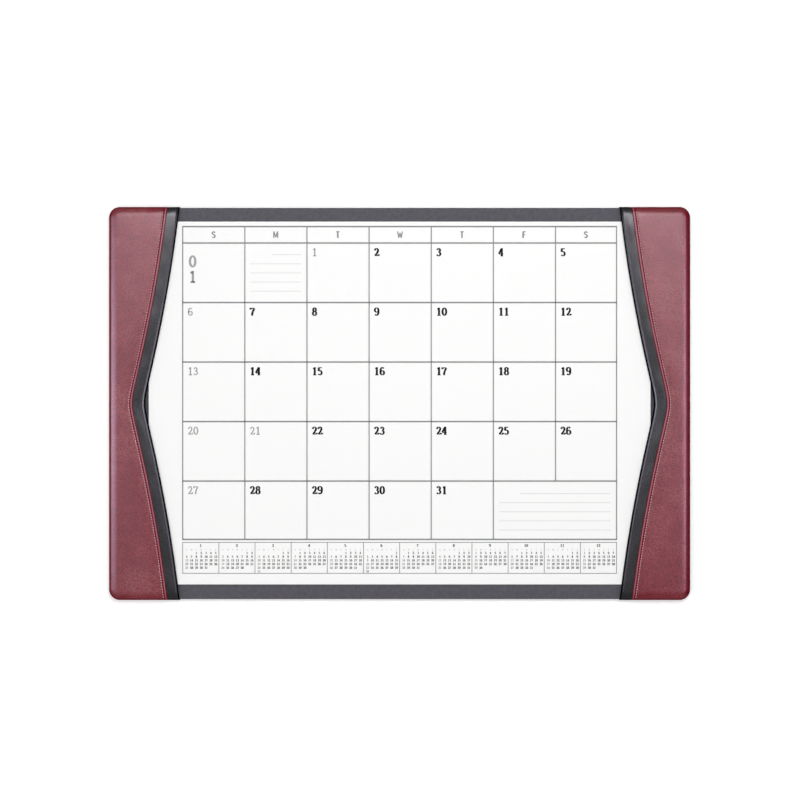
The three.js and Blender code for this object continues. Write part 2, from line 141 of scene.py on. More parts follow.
def rolled(level, x, y):
    """A level brought down over the rolled edge along a quarter of a slightly squared ellipse."""
    share = np.clip(rim_distance(x, y) / EDGE_ROLL, 0, 1)
    return ROLL_START + (level - ROLL_START) * (1 - (1 - share) ** ROLL_FULLNESS) ** (1 / ROLL_FULLNESS)


def ease(low, high, value):
    """0 below low, 1 above high, and 3t squared less 2t cubed between."""
    t = np.clip((value - low) / (high - low), 0, 1)
    return t * t * (3 - 2 * t)


def roll_steps(radius, count):
    """Steps in from an edge that are even along a quarter circle: radius times 1 less the cosine."""
    return radius * (1 - np.cos(np.linspace(0, np.pi / 2, count)))


middle_roll = rolled(CROWN_TOP, np.array([HALF_WIDTH - EDGE_ROLL / 2]), np.array([0.0]))[0]
print("Half way over the roll the crown has come down to", round(float(middle_roll), 1), "mm")

# %% [markdown]
# ## From arrays to meshes
#
# A sheet of leather or paper is a grid of points, so one helper makes the faces of any grid and another
# puts points and faces into a mesh. The rails are mirror images, and a mirrored grid has its faces turned
# back so that they still point outwards.

# %% Mesh helpers
def grid_faces(numbers):
    """Four corners for each cell of a table of point numbers, anticlockwise when rows and columns rise."""
    cells = (numbers[:-1, :-1], numbers[:-1, 1:], numbers[1:, 1:], numbers[1:, :-1])
    return np.stack(cells, axis=-1).reshape(-1, 4)


def make_piece(name, points, faces, material, slot, smooth=True):
    """A mesh object at the origin, from points in millimetres, that rides on the pad."""
    mesh = bpy.data.meshes.new(name)
    mesh.from_pydata((np.asarray(points) / MM).tolist(), [], [list(face) for face in faces])
    mesh.polygons.foreach_set("use_smooth", np.full(len(mesh.polygons), smooth))
    mesh.materials.append(material)
    mesh.validate()
    piece = bpy.data.objects.new(name, mesh)
    bpy.context.scene.collection.objects.link(piece)
    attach(piece, "root")
    return piece


def give_shade(piece, name, values):
    """Stores one number per point, which a material reads by name."""
    layer = piece.data.attributes.new(name, "FLOAT", "POINT")
    layer.data.foreach_set("value", np.asarray(values, dtype=np.float32))


def on_side(side, points, faces):
    """The grid as it is for the right rail; for the left, x changes sign and the faces turn round."""
    if side == "right":
        return points, faces
    return points * np.array([-1.0, 1.0, 1.0]), np.asarray(faces)[:, ::-1]


def thicken(piece, thickness):
    """Gives a sheet its thickness, inwards from its outer face."""
    wall = piece.modifiers.new("thickness", "SOLIDIFY")
    wall.thickness = thickness / MM
    wall.offset = -1.0
    wall.use_even_offset = False


print("A grid of 3 by 4 points has", len(grid_faces(np.arange(12).reshape(3, 4))), "faces")

# %% [markdown]
# ## Node helper and colours
#
# Materials are written as short lists of nodes. One function adds a node with its settings and its links,
# and one turns a colour as seen on a screen into the linear values that the renderer adds up.

# %% Material helpers
def linear(text):
    """sRGB hex to linear: a channel over 12.92 when small, else ((c + 0.055) / 1.055) to the power 2.4."""
    channels = [int(text[i:i + 2], 16) / 255 for i in (1, 3, 5)]
    return [c / 12.92 if c <= 0.04045 else ((c + 0.055) / 1.055) ** 2.4 for c in channels] + [1.0]


def add_node(tree, kind, settings=None, inputs=None):
    """Adds a node. An input is a value, or an output socket of another node to link from."""
    node = tree.nodes.new(kind)
    for key, value in (settings or {}).items():
        setattr(node, key, value)
    for key, value in (inputs or {}).items():
        if isinstance(value, bpy.types.NodeSocket):
            tree.links.new(value, node.inputs[key])
        else:
            node.inputs[key].default_value = value
    return node


def new_material(name):
    """An empty node material, its tree, and the object coordinates that its patterns read."""
    material = bpy.data.materials.new(name)
    material.use_nodes = True
    tree = material.node_tree
    tree.nodes.clear()
    place = add_node(tree, "ShaderNodeTexCoord").outputs["Object"]
    return material, tree, place


def finish_material(tree, shader):
    """Joins the shader to the surface."""
    add_node(tree, "ShaderNodeOutputMaterial", inputs={"Surface": shader.outputs[0]})


def colour_ramp(tree, factor, stops):
    """A ramp through hex colours at places from 0 to 1."""
    node = add_node(tree, "ShaderNodeValToRGB", inputs={"Fac": factor})
    ramp = node.color_ramp
    for index, (place, text) in enumerate(stops):
        stop = ramp.elements[index] if index < 2 else ramp.elements.new(place)
        stop.position = place
        stop.color = linear(text)
    return node.outputs["Color"]


def per_metre(size_mm):
    """A noise scale that gives features of this size in millimetres."""
    return MM / size_mm


print("Mid grey #808080 is", round(linear("#808080")[0], 3), "in linear light")

# %% [markdown]
# ## Leather
#
# The rails are smooth top-grain cowhide, dyed through and lightly waxed. Dye sinks in unevenly, so the colour
# drifts in soft clouds a few centimetres wide, with a finer mottle over them. The grain is a net of shallow
# cells under a millimetre across. A screen pixel here covers more than that, so the cells are drawn a
# little coarser than life. The wax gives a broad soft shine: roughness near 0.38 at leather's IOR of 1.5.
# Where shade falls on the rims, folds and stitches, it is painted in with a plain dark matt shader. The hem
# gets a painted colour too: a painted highlight on the burgundy and a painted shade on the black.

# %% Leather's colour and relief
CLOUD_SIZE = 34
MOTTLE_SIZE = 1.3
GRAIN_CELL = 1.4
CREASE_SIZE = 6


def dyed_colour(tree, place, clouds, mottle, seam):
    """Clouds of dye times a fine mottle, then mixed towards a painted hem colour by the share named seam."""
    cloud = add_node(tree, "ShaderNodeTexNoise", inputs={
        "Vector": place, "Scale": per_metre(CLOUD_SIZE), "Detail": 3.0, "Roughness": 0.6})
    speck = add_node(tree, "ShaderNodeTexNoise", inputs={
        "Vector": place, "Scale": per_metre(MOTTLE_SIZE), "Detail": 2.0, "Roughness": 0.6})
    mixed = add_node(tree, "ShaderNodeMix", {"data_type": "RGBA", "blend_type": "MULTIPLY"})
    mixed.inputs["Factor"].default_value = 1.0
    tree.links.new(colour_ramp(tree, cloud.outputs["Fac"], clouds), mixed.inputs["A"])
    tree.links.new(colour_ramp(tree, speck.outputs["Fac"], mottle), mixed.inputs["B"])
    # Painted hem colour: a painted highlight on the burgundy hem's ridge, painted shade where the black band
    # runs under the hem.
    hem = add_node(tree, "ShaderNodeAttribute", {"attribute_name": "seam"})
    painted_hem_colour = add_node(tree, "ShaderNodeMix", {"data_type": "RGBA"})
    tree.links.new(hem.outputs["Fac"], painted_hem_colour.inputs["Factor"])
    tree.links.new(mixed.outputs["Result"], painted_hem_colour.inputs["A"])
    painted_hem_colour.inputs["B"].default_value = linear(seam)
    return painted_hem_colour.outputs["Result"], speck.outputs["Fac"]


def grain_relief(tree, place, grain_depth):
    """Bumps in the normal: grain cells, and creases twice as deep over them."""
    cells = add_node(tree, "ShaderNodeTexVoronoi", {"feature": "DISTANCE_TO_EDGE"}, {
        "Vector": place, "Scale": per_metre(GRAIN_CELL)})
    crease = add_node(tree, "ShaderNodeTexNoise", inputs={
        "Vector": place, "Scale": per_metre(CREASE_SIZE), "Detail": 5.0, "Roughness": 0.7})
    grain = add_node(tree, "ShaderNodeBump", inputs={
        "Strength": 0.6, "Distance": grain_depth / MM, "Height": cells.outputs["Distance"]})
    relief = add_node(tree, "ShaderNodeBump", inputs={
        "Strength": 0.35, "Distance": 2 * grain_depth / MM, "Height": crease.outputs["Fac"],
        "Normal": grain.outputs["Normal"]})
    return relief.outputs["Normal"]


def leather(name, clouds, mottle, roughness, shine, grain_depth, edge, seam):
    """Waxed leather with painted shade: a plain dark matt shader mixed in by the share named edge."""
    material, tree, place = new_material(name)
    colour, speck = dyed_colour(tree, place, clouds, mottle, seam)
    polish = add_node(tree, "ShaderNodeMapRange", inputs={
        "Value": speck, "From Min": 0.3, "From Max": 0.7, "To Min": roughness[0], "To Max": roughness[1]})
    waxed = add_node(tree, "ShaderNodeBsdfPrincipled", inputs={
        "Base Color": colour, "Roughness": polish.outputs["Result"], "IOR": 1.5,
        "Specular IOR Level": shine, "Normal": grain_relief(tree, place, grain_depth)})
    # Painted shade: the colour named edge, on a plain matt shader, takes over where the share named edge says
    # shade falls.
    matt = add_node(tree, "ShaderNodeBsdfDiffuse", inputs={"Color": linear(edge)})
    painted_shade_share = add_node(tree, "ShaderNodeAttribute", {"attribute_name": "edge"})
    both = add_node(tree, "ShaderNodeMixShader", inputs={"Fac": painted_shade_share.outputs["Fac"]})
    tree.links.new(waxed.outputs[0], both.inputs[1])
    tree.links.new(matt.outputs[0], both.inputs[2])
    finish_material(tree, both)
    return material


print("Grain cells per metre:", round(per_metre(GRAIN_CELL)))

# %% [markdown]
# ### The two leathers
#
# The burgundy hide is thick and shows its grain. The black one is thinner, pressed smoother and polished a
# little more, so its grain is a third as deep and its shine is tighter.

# %% Burgundy and black leather
# The last two colours are painted light: the dark colour of painted shade on rims and folds, then the hem's
# painted colour, a highlight on the burgundy and a shade on the black.
burgundy_leather = leather(
    "waxed_leather_burgundy",
    [(0.32, "#74121F"), (0.50, "#7E212C"), (0.66, "#86343A")],
    [(0.36, "#A48896"), (0.50, "#F0E4E2"), (0.62, "#FFFFFF")],
    (0.30, 0.46), 0.25, 0.16, "#6A0A1E", "#AC686F")
black_leather = leather(
    "waxed_leather_black",
    [(0.32, "#0B0B0E"), (0.52, "#131317"), (0.68, "#1D1D22")],
    [(0.36, "#A0A0AA"), (0.62, "#FFFFFF")],
    (0.26, 0.38), 0.22, 0.05, "#020203", "#040406")
print("Leathers:", burgundy_leather.name, "and", black_leather.name)

# %% [markdown]
# ## Board covering, paper, ink and the hidden parts
#
# The board is covered with bonded leather, which is ground leather pressed on a cloth with a fine even
# pebble. The calendar is uncoated bond paper: matt, nearly white and faintly fibrous. Its ink is flat and
# matt. Thread is spun polyester, felt is a mat of short fibres, and grey board is pressed waste paper. One
# noise is enough for each of the matt ones, so they share a recipe, and only the board has its own.

# %% Recipes for the matt materials
PEBBLE_SIZE = 1.1


def plain_material(name, stops, size, roughness, depth, shine=0.5):
    """A matt material: one noise gives its drift of colour and its relief."""
    material, tree, place = new_material(name)
    noise = add_node(tree, "ShaderNodeTexNoise", inputs={
        "Vector": place, "Scale": per_metre(size), "Detail": 4.0, "Roughness": 0.6})
    bump = add_node(tree, "ShaderNodeBump", inputs={
        "Strength": 0.4, "Distance": depth / MM, "Height": noise.outputs["Fac"]})
    shader = add_node(tree, "ShaderNodeBsdfPrincipled", inputs={
        "Base Color": colour_ramp(tree, noise.outputs["Fac"], stops), "Roughness": roughness,
        "Specular IOR Level": shine, "Normal": bump.outputs["Normal"]})
    finish_material(tree, shader)
    return material


def pebbled_material(name):
    """Bonded leather: a close net of pebbles about a millimetre across over a faint drift of tone."""
    material, tree, place = new_material(name)
    drift = add_node(tree, "ShaderNodeTexNoise", inputs={
        "Vector": place, "Scale": per_metre(5), "Detail": 5.0, "Roughness": 0.7})
    pebbles = add_node(tree, "ShaderNodeTexVoronoi", {"feature": "SMOOTH_F1"}, {
        "Vector": place, "Scale": per_metre(PEBBLE_SIZE), "Smoothness": 0.6})
    bump = add_node(tree, "ShaderNodeBump", inputs={
        "Strength": 0.5, "Distance": 0.16 / MM, "Height": pebbles.outputs["Distance"]})
    bump.invert = True
    shader = add_node(tree, "ShaderNodeBsdfPrincipled", inputs={
        "Base Color": colour_ramp(tree, drift.outputs["Fac"], [(0.35, "#3F3E43"), (0.65, "#4A494F")]),
        "Roughness": 0.75, "Specular IOR Level": 0.2, "Normal": bump.outputs["Normal"]})
    finish_material(tree, shader)
    return material


print("Pebbles per metre:", round(per_metre(PEBBLE_SIZE)))

# %% [markdown]
# ### Covering, paper, ink and thread
#
# Each line gives two colours that the noise drifts between, the size of that drift in millimetres, the
# roughness and the depth of the relief. Paper and ink are rough, with almost no shine, so they look even from
# any side. The greys of the ink stand for how closely its dots are printed.

# %% Matt materials
bonded_leather = pebbled_material("bonded_leather_charcoal")
bond_paper = plain_material("uncoated_bond_paper", [(0.3, "#FAFAF9"), (0.7, "#FDFDFC")], 0.9, 0.85, 0.01, 0.2)
black_ink = plain_material("offset_ink_black", [(0.3, "#050506"), (0.7, "#0B0B0C")], 0.6, 0.7, 0.004, 0.1)


def grey_ink(name, dark, light):
    """Offset ink: a flat matt grey with a drift too fine to see and hardly any relief."""
    return plain_material(name, [(0.3, dark), (0.7, light)], 0.6, 0.8, 0.004, 0.1)


line_ink = grey_ink("offset_ink_line_grey", "#868686", "#8E8E8E")
small_ink = grey_ink("offset_ink_small_grey", "#565656", "#5E5E5E")
light_ink = grey_ink("offset_ink_light_grey", "#9E9E9E", "#A8A8A8")
faint_ink = grey_ink("offset_ink_faint_grey", "#E2E2E2", "#E6E6E6")
thread = plain_material("spun_polyester_thread", [(0.3, "#A8787F"), (0.7, "#D2A4A9")], 0.5, 0.5, 0.08)
felt = plain_material("pressed_felt_black", [(0.3, "#1A1A1C"), (0.7, "#2C2C2F")], 1.1, 0.95, 0.5)
grey_board = plain_material("pressed_grey_board", [(0.3, "#8E887C"), (0.7, "#A8A296")], 1.6, 0.9, 0.08)
foam = plain_material("polyurethane_foam", [(0.3, "#D8CFB4"), (0.7, "#E6DEC6")], 1.0, 0.9, 0.2)

for node_name, material in (
        ("felt_backing", felt), ("base_board", grey_board), ("backing_card", grey_board),
        ("left_rail_core", grey_board), ("right_rail_core", grey_board),
        ("left_rail_padding", foam), ("right_rail_padding", foam)):
    node_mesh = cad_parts[node_name].data
    node_mesh.materials.clear()
    node_mesh.materials.append(material)
print("Materials:", len(bpy.data.materials))

# %% [markdown]
# ## Burgundy panels
#
# Each panel is one piece of hide, drawn over the foam and round the side and both ends. It could be swollen
# by a cloth simulation, but a tight panel has a shallow, even crown, so a height over the plan gives its
# shape. The hem is folded, and a row of stitches pulls a groove in beside it. Stitches follow the seam, not
# the pad's side, so lengths along the seam are worked out first.

# %% Seam length and stitch places
STITCH_PITCH = 2.9
HEM_WIDTH = 4.2
SEAM_LEVEL = CROWN_TOP - 0.7


def seam_length(y):
    """Length along the seam from the waist to y: the summed steps of its curve."""
    fine = np.linspace(0, HALF_DEPTH, 2000)
    steps = np.hypot(np.diff(fine), np.diff(rail_curve(fine, SEAM_WIDTHS)))
    length = np.concatenate([[0], np.cumsum(steps)])
    return np.sign(y) * np.interp(np.abs(y), fine, length)


def seam_slope(y):
    """How far the seam moves across over a millimetre along the pad."""
    return rail_curve(y + 0.5, SEAM_WIDTHS) - rail_curve(y - 0.5, SEAM_WIDTHS)


def seam_cosine(y):
    """Cosine of the seam's lean, which turns a distance across into a distance square to the seam."""
    return 1 / np.hypot(1, seam_slope(y))


def seam_distance(x, y):
    """Distance from the seam, square to it: the distance across times the cosine of the lean."""
    return (x - rail_curve(y, SEAM_WIDTHS)) * seam_cosine(y)


def stitch_beat(y):
    """A cosine that beats once a stitch: 1 between two stitches and -1 in the middle of one."""
    return np.cos(2 * np.pi * seam_length(y) / STITCH_PITCH)


print("Each seam is", round(2 * float(seam_length(HALF_DEPTH))), "mm long")

# %% [markdown]
# ### Swells and sinking ends
#
# Leather over foam never lies dead flat, and it sinks towards the ends, where it is pulled over the board.
# Crossed sines give the swells rather than noise, because they stay smooth and come out the same each run.

# %% Swells and sinking ends
def soft_waves(x, y, phase, height, size):
    """Slow uneven swells: three crossed sines with lengths that share no common step."""
    first = np.sin(x / (0.31 * size) + phase) * np.sin(y / (0.53 * size) + 2.1 * phase)
    second = np.sin((x + y) / (0.43 * size) + 0.7 * phase)
    third = np.sin((y - 0.6 * x) / (0.27 * size) + 1.9 * phase)
    return height * (0.5 * first + 0.3 * second + 0.2 * third)


def end_fall(y, depth, run):
    """How far a rail has sunk at y: a square curve that starts a run before either end."""
    return depth * np.clip(1 - (HALF_DEPTH - np.abs(y)) / run, 0, 1) ** 2


fallen = end_fall(HALF_DEPTH - 15, 1, 30)
print("15 mm from an end that sinks 1 mm over 30 mm, it has sunk", round(float(fallen), 2), "mm")

# %% [markdown]
# ### Height of a panel
#
# The crown is highest over the foam. At the seam the leather is folded double, so the hem puffs a little.
# Beside it the thread pulls a groove that is deepest between the stitches, and the leather puckers there.

# %% Panel height
CROWN_RISE = 0.7
CROWN_RUN = 16
PANEL_SINK = 0.7
PANEL_SINK_RUN = 34
FOLD_DROP = 1.25
FOLD_RUN = 0.9
HEM_PUFF = 0.30
GROOVE_DEPTH = 0.42
GROOVE_BEAT = 0.14
GROOVE_HALF = 0.55
PUCKER_HEIGHT = 0.09
PUCKER_PLACE = 1.3
PUCKER_HALF = 1.2
PANEL_SWELL = 0.16
PANEL_SWELL_SIZE = 60


def panel_level(x, y, phase):
    """Crown, folded hem, groove and puckers: an ease, a quarter circle, half a sine and two bell curves."""
    from_seam = seam_distance(x, y)
    beat = stitch_beat(y)
    sunk = end_fall(y, PANEL_SINK, PANEL_SINK_RUN)
    crown = SEAM_LEVEL + CROWN_RISE * ease(0, CROWN_RUN, from_seam) - sunk
    fold = FOLD_DROP * (1 - np.sqrt(1 - (1 - np.clip(from_seam / FOLD_RUN, 0, 1)) ** 2))
    hem = HEM_PUFF * np.sin(np.pi * np.clip(from_seam / HEM_WIDTH, 0, 1))
    groove = (GROOVE_DEPTH + GROOVE_BEAT * beat) * np.exp(-((from_seam - HEM_WIDTH) / GROOVE_HALF) ** 2)
    pucker = PUCKER_HEIGHT * beat * np.exp(-((from_seam - HEM_WIDTH - PUCKER_PLACE) / PUCKER_HALF) ** 2)
    swell = soft_waves(x, y, phase, PANEL_SWELL, PANEL_SWELL_SIZE) * ease(2, 10, from_seam)
    return crown - fold + hem - groove - pucker + swell


crown_height = panel_level(np.array([HALF_WIDTH - 15]), np.array([0.0]), 0.0)[0]
print("The crown beside the waist is", round(float(crown_height), 1), "mm high")

# %% [markdown]
# ### Grid of a panel
#
# The rows are close enough for four to a stitch. The columns close up where the surface bends, at the hem and
# over the rolled side. From the rim of that grid a skirt of rings goes down, round the lower edge and in
# under the board, and each ring is the rim moved in square to the outline and set at one height.

# %% Rows, columns and skirt
HEM_COLUMNS = np.array([0, 0.08, 0.25, 0.5, 0.9, 1.5, 2.2, 2.8, 3.2, 3.5, 3.8, 4.1, 4.4, 4.8, 5.4, 6.2, 7.4])
ROLL_LINES = 17
EVEN_COLUMNS = 16
ROWS_PER_STITCH = 4
SKIRT = [(0.0, 2.6), (0.0, 1.9), (0.12, 1.4), (0.4, 1.05), (0.9, 0.86), (1.8, UNDERSIDE),
         (9.0, UNDERSIDE), (18.0, UNDERSIDE)]


def panel_columns(y):
    """Places across a row: close at the hem, even over the crown, close again over the rolled side."""
    roll = roll_steps(EDGE_ROLL, ROLL_LINES)[::-1]
    seam = rail_curve(y, SEAM_WIDTHS)[:, None]
    side = side_edge(y)[:, None]
    start = seam + HEM_COLUMNS[-1]
    end = side - roll[0]
    between = np.linspace(0, 1, EVEN_COLUMNS)[1:-1]
    return np.hstack([seam + HEM_COLUMNS, start + (end - start) * between, side - roll])


def rail_rows():
    """Rows along the rail: four to a stitch, and closing up over both rolled ends."""
    roll = HALF_DEPTH - roll_steps(EDGE_ROLL, ROLL_LINES)
    inner = roll[-1]
    count = int(round(2 * inner / (STITCH_PITCH / ROWS_PER_STITCH)))
    return np.concatenate([-roll[:-1], np.linspace(-inner, inner, count + 1), roll[:-1][::-1]])


def skirt_ring(rim, inward, height):
    """The rim moved in from the outline, square to it, and set at one height."""
    reach = np.array([HALF_WIDTH, HALF_DEPTH]) - CORNER_RADIUS
    centre = np.column_stack([np.minimum(rim[:, 0], reach[0]), np.clip(rim[:, 1], -reach[1], reach[1])])
    outward = rim[:, :2] - centre
    outward /= np.linalg.norm(outward, axis=1)[:, None]
    place = rim[:, :2] - outward * min(inward, CORNER_RADIUS)
    if inward > CORNER_RADIUS:
        limit = np.array([HALF_WIDTH, HALF_DEPTH]) - inward
        along = np.clip(place[:, 1], -limit[1], limit[1])
        place = np.column_stack([np.minimum(place[:, 0], limit[0]), along])
    return np.column_stack([place, np.full(len(rim), height)])


print("A panel has", len(rail_rows()), "rows of", panel_columns(np.zeros(1)).shape[1], "points")

# %% [markdown]
# ### Painted shade and highlight of a panel
#
# Shade is painted where it falls, with a plain dark matt shader: a rim all round the rolled edge, wider down
# the pad's right side, where less light falls, painted shadow where the hem is tucked in, a line in the
# groove beside the stitches, and a spot under each stitch. A painted highlight makes the ridge of the hem
# paler. Each is a share from 0 to 1 at every point, which the leather's material reads, because an image
# painted for it would have to be unwrapped first.

# %% Painted shade at the rims and painted highlight on the hem
# Painted shade at the rim reaches further in down the right side, where less light falls.
SIDE_SHADES = {"left": (2.0, 3.6), "right": (4.6, 6.8)}
END_SHADES = (1.0, 3.0)
RIM_DEPTH = 0.92
STITCH_SHADE_HALF = 0.8
GROOVE_SHADE_PLACE = 1.2
GROOVE_SHADE_HALF = 0.85
FOLD_SHADOW_HALF = 0.95
HEM_HIGHLIGHT_DEPTH = 0.6
HEM_HIGHLIGHT_PLACE = 1.7
HEM_HIGHLIGHT_HALF = 1.0


def rim_shade(side, x, y):
    """Painted shade at the rim: the side's reach and the ends' reach, shared out at the corner by nearness.
    """
    nearer_side = ease(-5, 5, (HALF_DEPTH - np.abs(y)) - (HALF_WIDTH - x))
    at_side = 1 - ease(*SIDE_SHADES[side], rim_distance(x, y))
    at_end = 1 - ease(*END_SHADES, rim_distance(x, y))
    return RIM_DEPTH * (nearer_side * at_side + (1 - nearer_side) * at_end)


def panel_dye(side, x, y):
    """Share of painted shade, the highest of rim, stitches and two lines, and share of painted hem highlight:
    bell curves.
    """
    from_seam = seam_distance(x, y)
    # Painted shade under each stitch, in the groove beside the stitches and at the tucked fold; a painted
    # highlight on the hem's ridge.
    stitch_shade = np.clip(-stitch_beat(y), 0, 1)
    stitch_shade *= np.exp(-((from_seam - HEM_WIDTH) / STITCH_SHADE_HALF) ** 2)
    groove_shade = np.exp(-((from_seam - HEM_WIDTH + GROOVE_SHADE_PLACE) / GROOVE_SHADE_HALF) ** 4)
    fold_shadow = np.exp(-(from_seam / FOLD_SHADOW_HALF) ** 4)
    dark = np.max([rim_shade(side, x, y), stitch_shade, groove_shade, fold_shadow], axis=0)
    painted_hem_colour = HEM_HIGHLIGHT_DEPTH * np.exp(-((from_seam - HEM_HIGHLIGHT_PLACE) / HEM_HIGHLIGHT_HALF) ** 4)
    return dark, painted_hem_colour


print("Dark rims down the sides reach", SIDE_SHADES["left"][1], "and", SIDE_SHADES["right"][1], "mm in")

# %% [markdown]
# ### The two panels
#
# Grid and skirt are joined into one sheet, and Solidify gives it the hide's thickness inwards, so that the
# outer face keeps its place. The left panel is the right one mirrored, with swells of its own.

# %% Both panels
HIDE_THICKNESS = 0.9


def leather_panel(side, phase):
    """The panel's top grid with its skirt, as a sheet with the hide's thickness."""
    rows = rail_rows()
    x = panel_columns(rows)
    y = np.repeat(rows[:, None], x.shape[1], axis=1)
    z = rolled(panel_level(x, y, phase), x, y)
    top = np.stack([x, y, z], axis=-1)
    numbers = np.arange(x.size).reshape(x.shape)
    round_rim = np.concatenate([numbers[0], numbers[1:, -1], numbers[-1, -2::-1]])
    rim = top.reshape(-1, 3)[round_rim]
    count = len(round_rim)
    rings = [skirt_ring(rim, inward, height) for inward, height in SKIRT]
    points = np.vstack([top.reshape(-1, 3)] + rings)
    skirt = np.vstack([round_rim] + [x.size + i * count + np.arange(count) for i in range(len(SKIRT))])
    faces = np.vstack([grid_faces(numbers), grid_faces(skirt[::-1])])
    piece = make_piece(f"{side}_panel_hide", *on_side(side, points, faces), burgundy_leather,
                       "burgundy_leather")
    # Painted light: shade on the rim, folds and stitches, a highlight on the hem; the skirt is painted in
    # shade all over.
    dark, painted_hem_colour = panel_dye(side, x, y)
    give_shade(piece, "edge", np.concatenate([dark.ravel(), np.full(len(points) - x.size, RIM_DEPTH)]))
    give_shade(piece, "seam", np.concatenate([painted_hem_colour.ravel(), np.zeros(len(points) - x.size)]))
    thicken(piece, HIDE_THICKNESS)
    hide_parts(f"{side}_leather_panel")
    return piece


panel_pieces = [leather_panel("left", 0.4), leather_panel("right", 2.3)]
print("Panel faces each:", len(panel_pieces[0].data.polygons))

# %% [markdown]
# ## Black bands
#
# The band is a strip of thinner hide. Its inner edge is rolled into a tight bead and folded under the lip
# that holds the sheets. Then it dips, rises to a crown, and runs on under the panel's hem. A profile carried
# along the rail gives all of that, and both ends come down over the board like the panel's.

# %% Band height
BEAD_RADIUS = 1.7
BEAD_FOOT = 8.3
BEAD_SINK = 0.45
DIP_PLACE = 3.7
DIP_SINK = 1.0
DIP_OVERLAP = 0.6
CROWN_OVER = 0.25
BAND_SWELL = 0.32
BAND_SWELL_SIZE = 19
CREASE_HEIGHT = 0.008
CREASE_SPACING = 0.9
BAND_SINK = 1.3
BAND_SINK_RUN = 26


def fine_creases(from_lip, x, y, phase):
    """Cross creases: a sine along the rail, bent by a slower one, that comes and goes with a third."""
    crease = CREASE_HEIGHT * np.sin(y / CREASE_SPACING + 2.3 * np.sin(y / 7.0 + phase) + 0.9 * x)
    return crease * ease(1, 4, from_lip) * (0.5 + 0.5 * np.sin(y / 23.0 + phase))


def band_level(from_lip, width, x, y, phase):
    """A bead like a quarter circle, an eased dip and a crown that rises like a sine to the seam."""
    bead_top = BAND_TOP - BEAD_SINK
    dip = BAND_TOP - DIP_SINK
    share = np.clip(from_lip / BEAD_RADIUS, 0, 1)
    bead = BEAD_FOOT + (bead_top - BEAD_FOOT) * np.sqrt(1 - (1 - share) ** 2)
    fall = (dip - bead_top) * ease(BEAD_RADIUS, DIP_PLACE, from_lip)
    climb = np.clip((from_lip - DIP_PLACE + DIP_OVERLAP) / (width - DIP_PLACE + DIP_OVERLAP), 0, 1)
    rise = (BAND_TOP + CROWN_OVER - dip) * np.sin(np.pi / 2 * climb)
    swell = soft_waves(x, y, phase, BAND_SWELL, BAND_SWELL_SIZE) * ease(4.0, 9, from_lip)
    sunk = end_fall(y, BAND_SINK, BAND_SINK_RUN) * ease(0, 3, from_lip)
    return bead + fall + rise + swell + fine_creases(from_lip, x, y, phase) - sunk


print("The bead's top is", BEAD_SINK, "mm and the dip", DIP_SINK, "mm below the solid band's top")

# %% [markdown]
# ### Mesh of a band
#
# The profile is set on the same rows as the panel. Rings at both ends wrap it over the board, and a strip
# from its first column turns under the lip. The strip stops short of the ends, where there is no pocket, so
# points that no face uses are dropped and the rest are numbered again.

# %% Band mesh
LIP_UNDER = SHEET_TOP + 0.3
FOLD_STOP = 3.0
FOLD_IN = np.array([8.0, 4.0, 1.3, 0.6, 0.22, 0.04])
FOLD_UP = np.array([0.0, 0.0, 0.02, 0.12, 0.38, 0.8])
BEAD_LINES = 8
BAND_LINES = 19
UNDER_HEM = (1.5, 3.0)


def band_top(rows, phase):
    """The band's upper face: the profile on every row, over the lip, the dip and the crown."""
    lip = rail_curve(rows, LIP_WIDTHS)[:, None]
    seam = rail_curve(rows, SEAM_WIDTHS)[:, None]
    bead = roll_steps(BEAD_RADIUS, BEAD_LINES)
    between = np.linspace(0, 1, BAND_LINES)[1:]
    x = np.hstack([lip + bead, lip + BEAD_RADIUS + (seam - lip - BEAD_RADIUS) * between,
                   *(seam + reach for reach in UNDER_HEM)])
    y = np.repeat(rows[:, None], x.shape[1], axis=1)
    z = rolled(band_level(x - lip, seam - lip, x, y, phase), x, y)
    return np.stack([x, y, z], axis=-1)


def band_fold(rows):
    """The strip turned under the lip: set distances in from its edge, and heights over the sheets."""
    lip = rail_curve(rows, LIP_WIDTHS)[:, None]
    floor = np.minimum(LIP_UNDER, rolled(BEAD_FOOT, lip, rows[:, None]) - 1.0)
    along = np.repeat(rows[:, None], len(FOLD_IN), axis=1)
    return np.stack([lip + FOLD_IN, along, floor + FOLD_UP], axis=-1)


def band_sheet(phase):
    """Points and faces of one band: end rings, upper face, end rings, and the fold joined to its edge."""
    rows = rail_rows()
    top = band_top(rows, phase)
    fold = band_fold(rows)
    ends = []
    for row, order in ((0, slice(None, None, -1)), (-1, slice(None))):
        rings = [skirt_ring(top[row], inward, height) for inward, height in SKIRT]
        ends.append(np.array(rings)[order])
    sheet = np.concatenate([ends[0], top, ends[1]])
    numbers = np.arange(sheet.shape[0] * sheet.shape[1]).reshape(sheet.shape[:2])
    kept = np.flatnonzero(HALF_DEPTH - np.abs(rows) > FOLD_STOP)
    fold_numbers = numbers.size + np.arange(fold.shape[0] * fold.shape[1]).reshape(fold.shape[:2])
    joined = np.hstack([fold_numbers[kept], numbers[kept + len(SKIRT)][:, :1]])
    faces = np.vstack([grid_faces(numbers), grid_faces(joined)])
    points = np.vstack([sheet.reshape(-1, 3), fold.reshape(-1, 3)])
    used = np.unique(faces)
    renumber = np.zeros(len(points), dtype=int)
    renumber[used] = np.arange(len(used))
    return points[used], renumber[faces]


print("The pocket under the lip is", round(LIP_UNDER - facing_high[2], 1), "mm high")

# %% [markdown]
# ### The two bands
#
# Shade is painted where it falls: a dark matt strip along the lip and the ends, and a darker colour where the
# band runs in under the hem. Beside the black edge, the bead catches the lamps at the sides as one thin pale
# line.

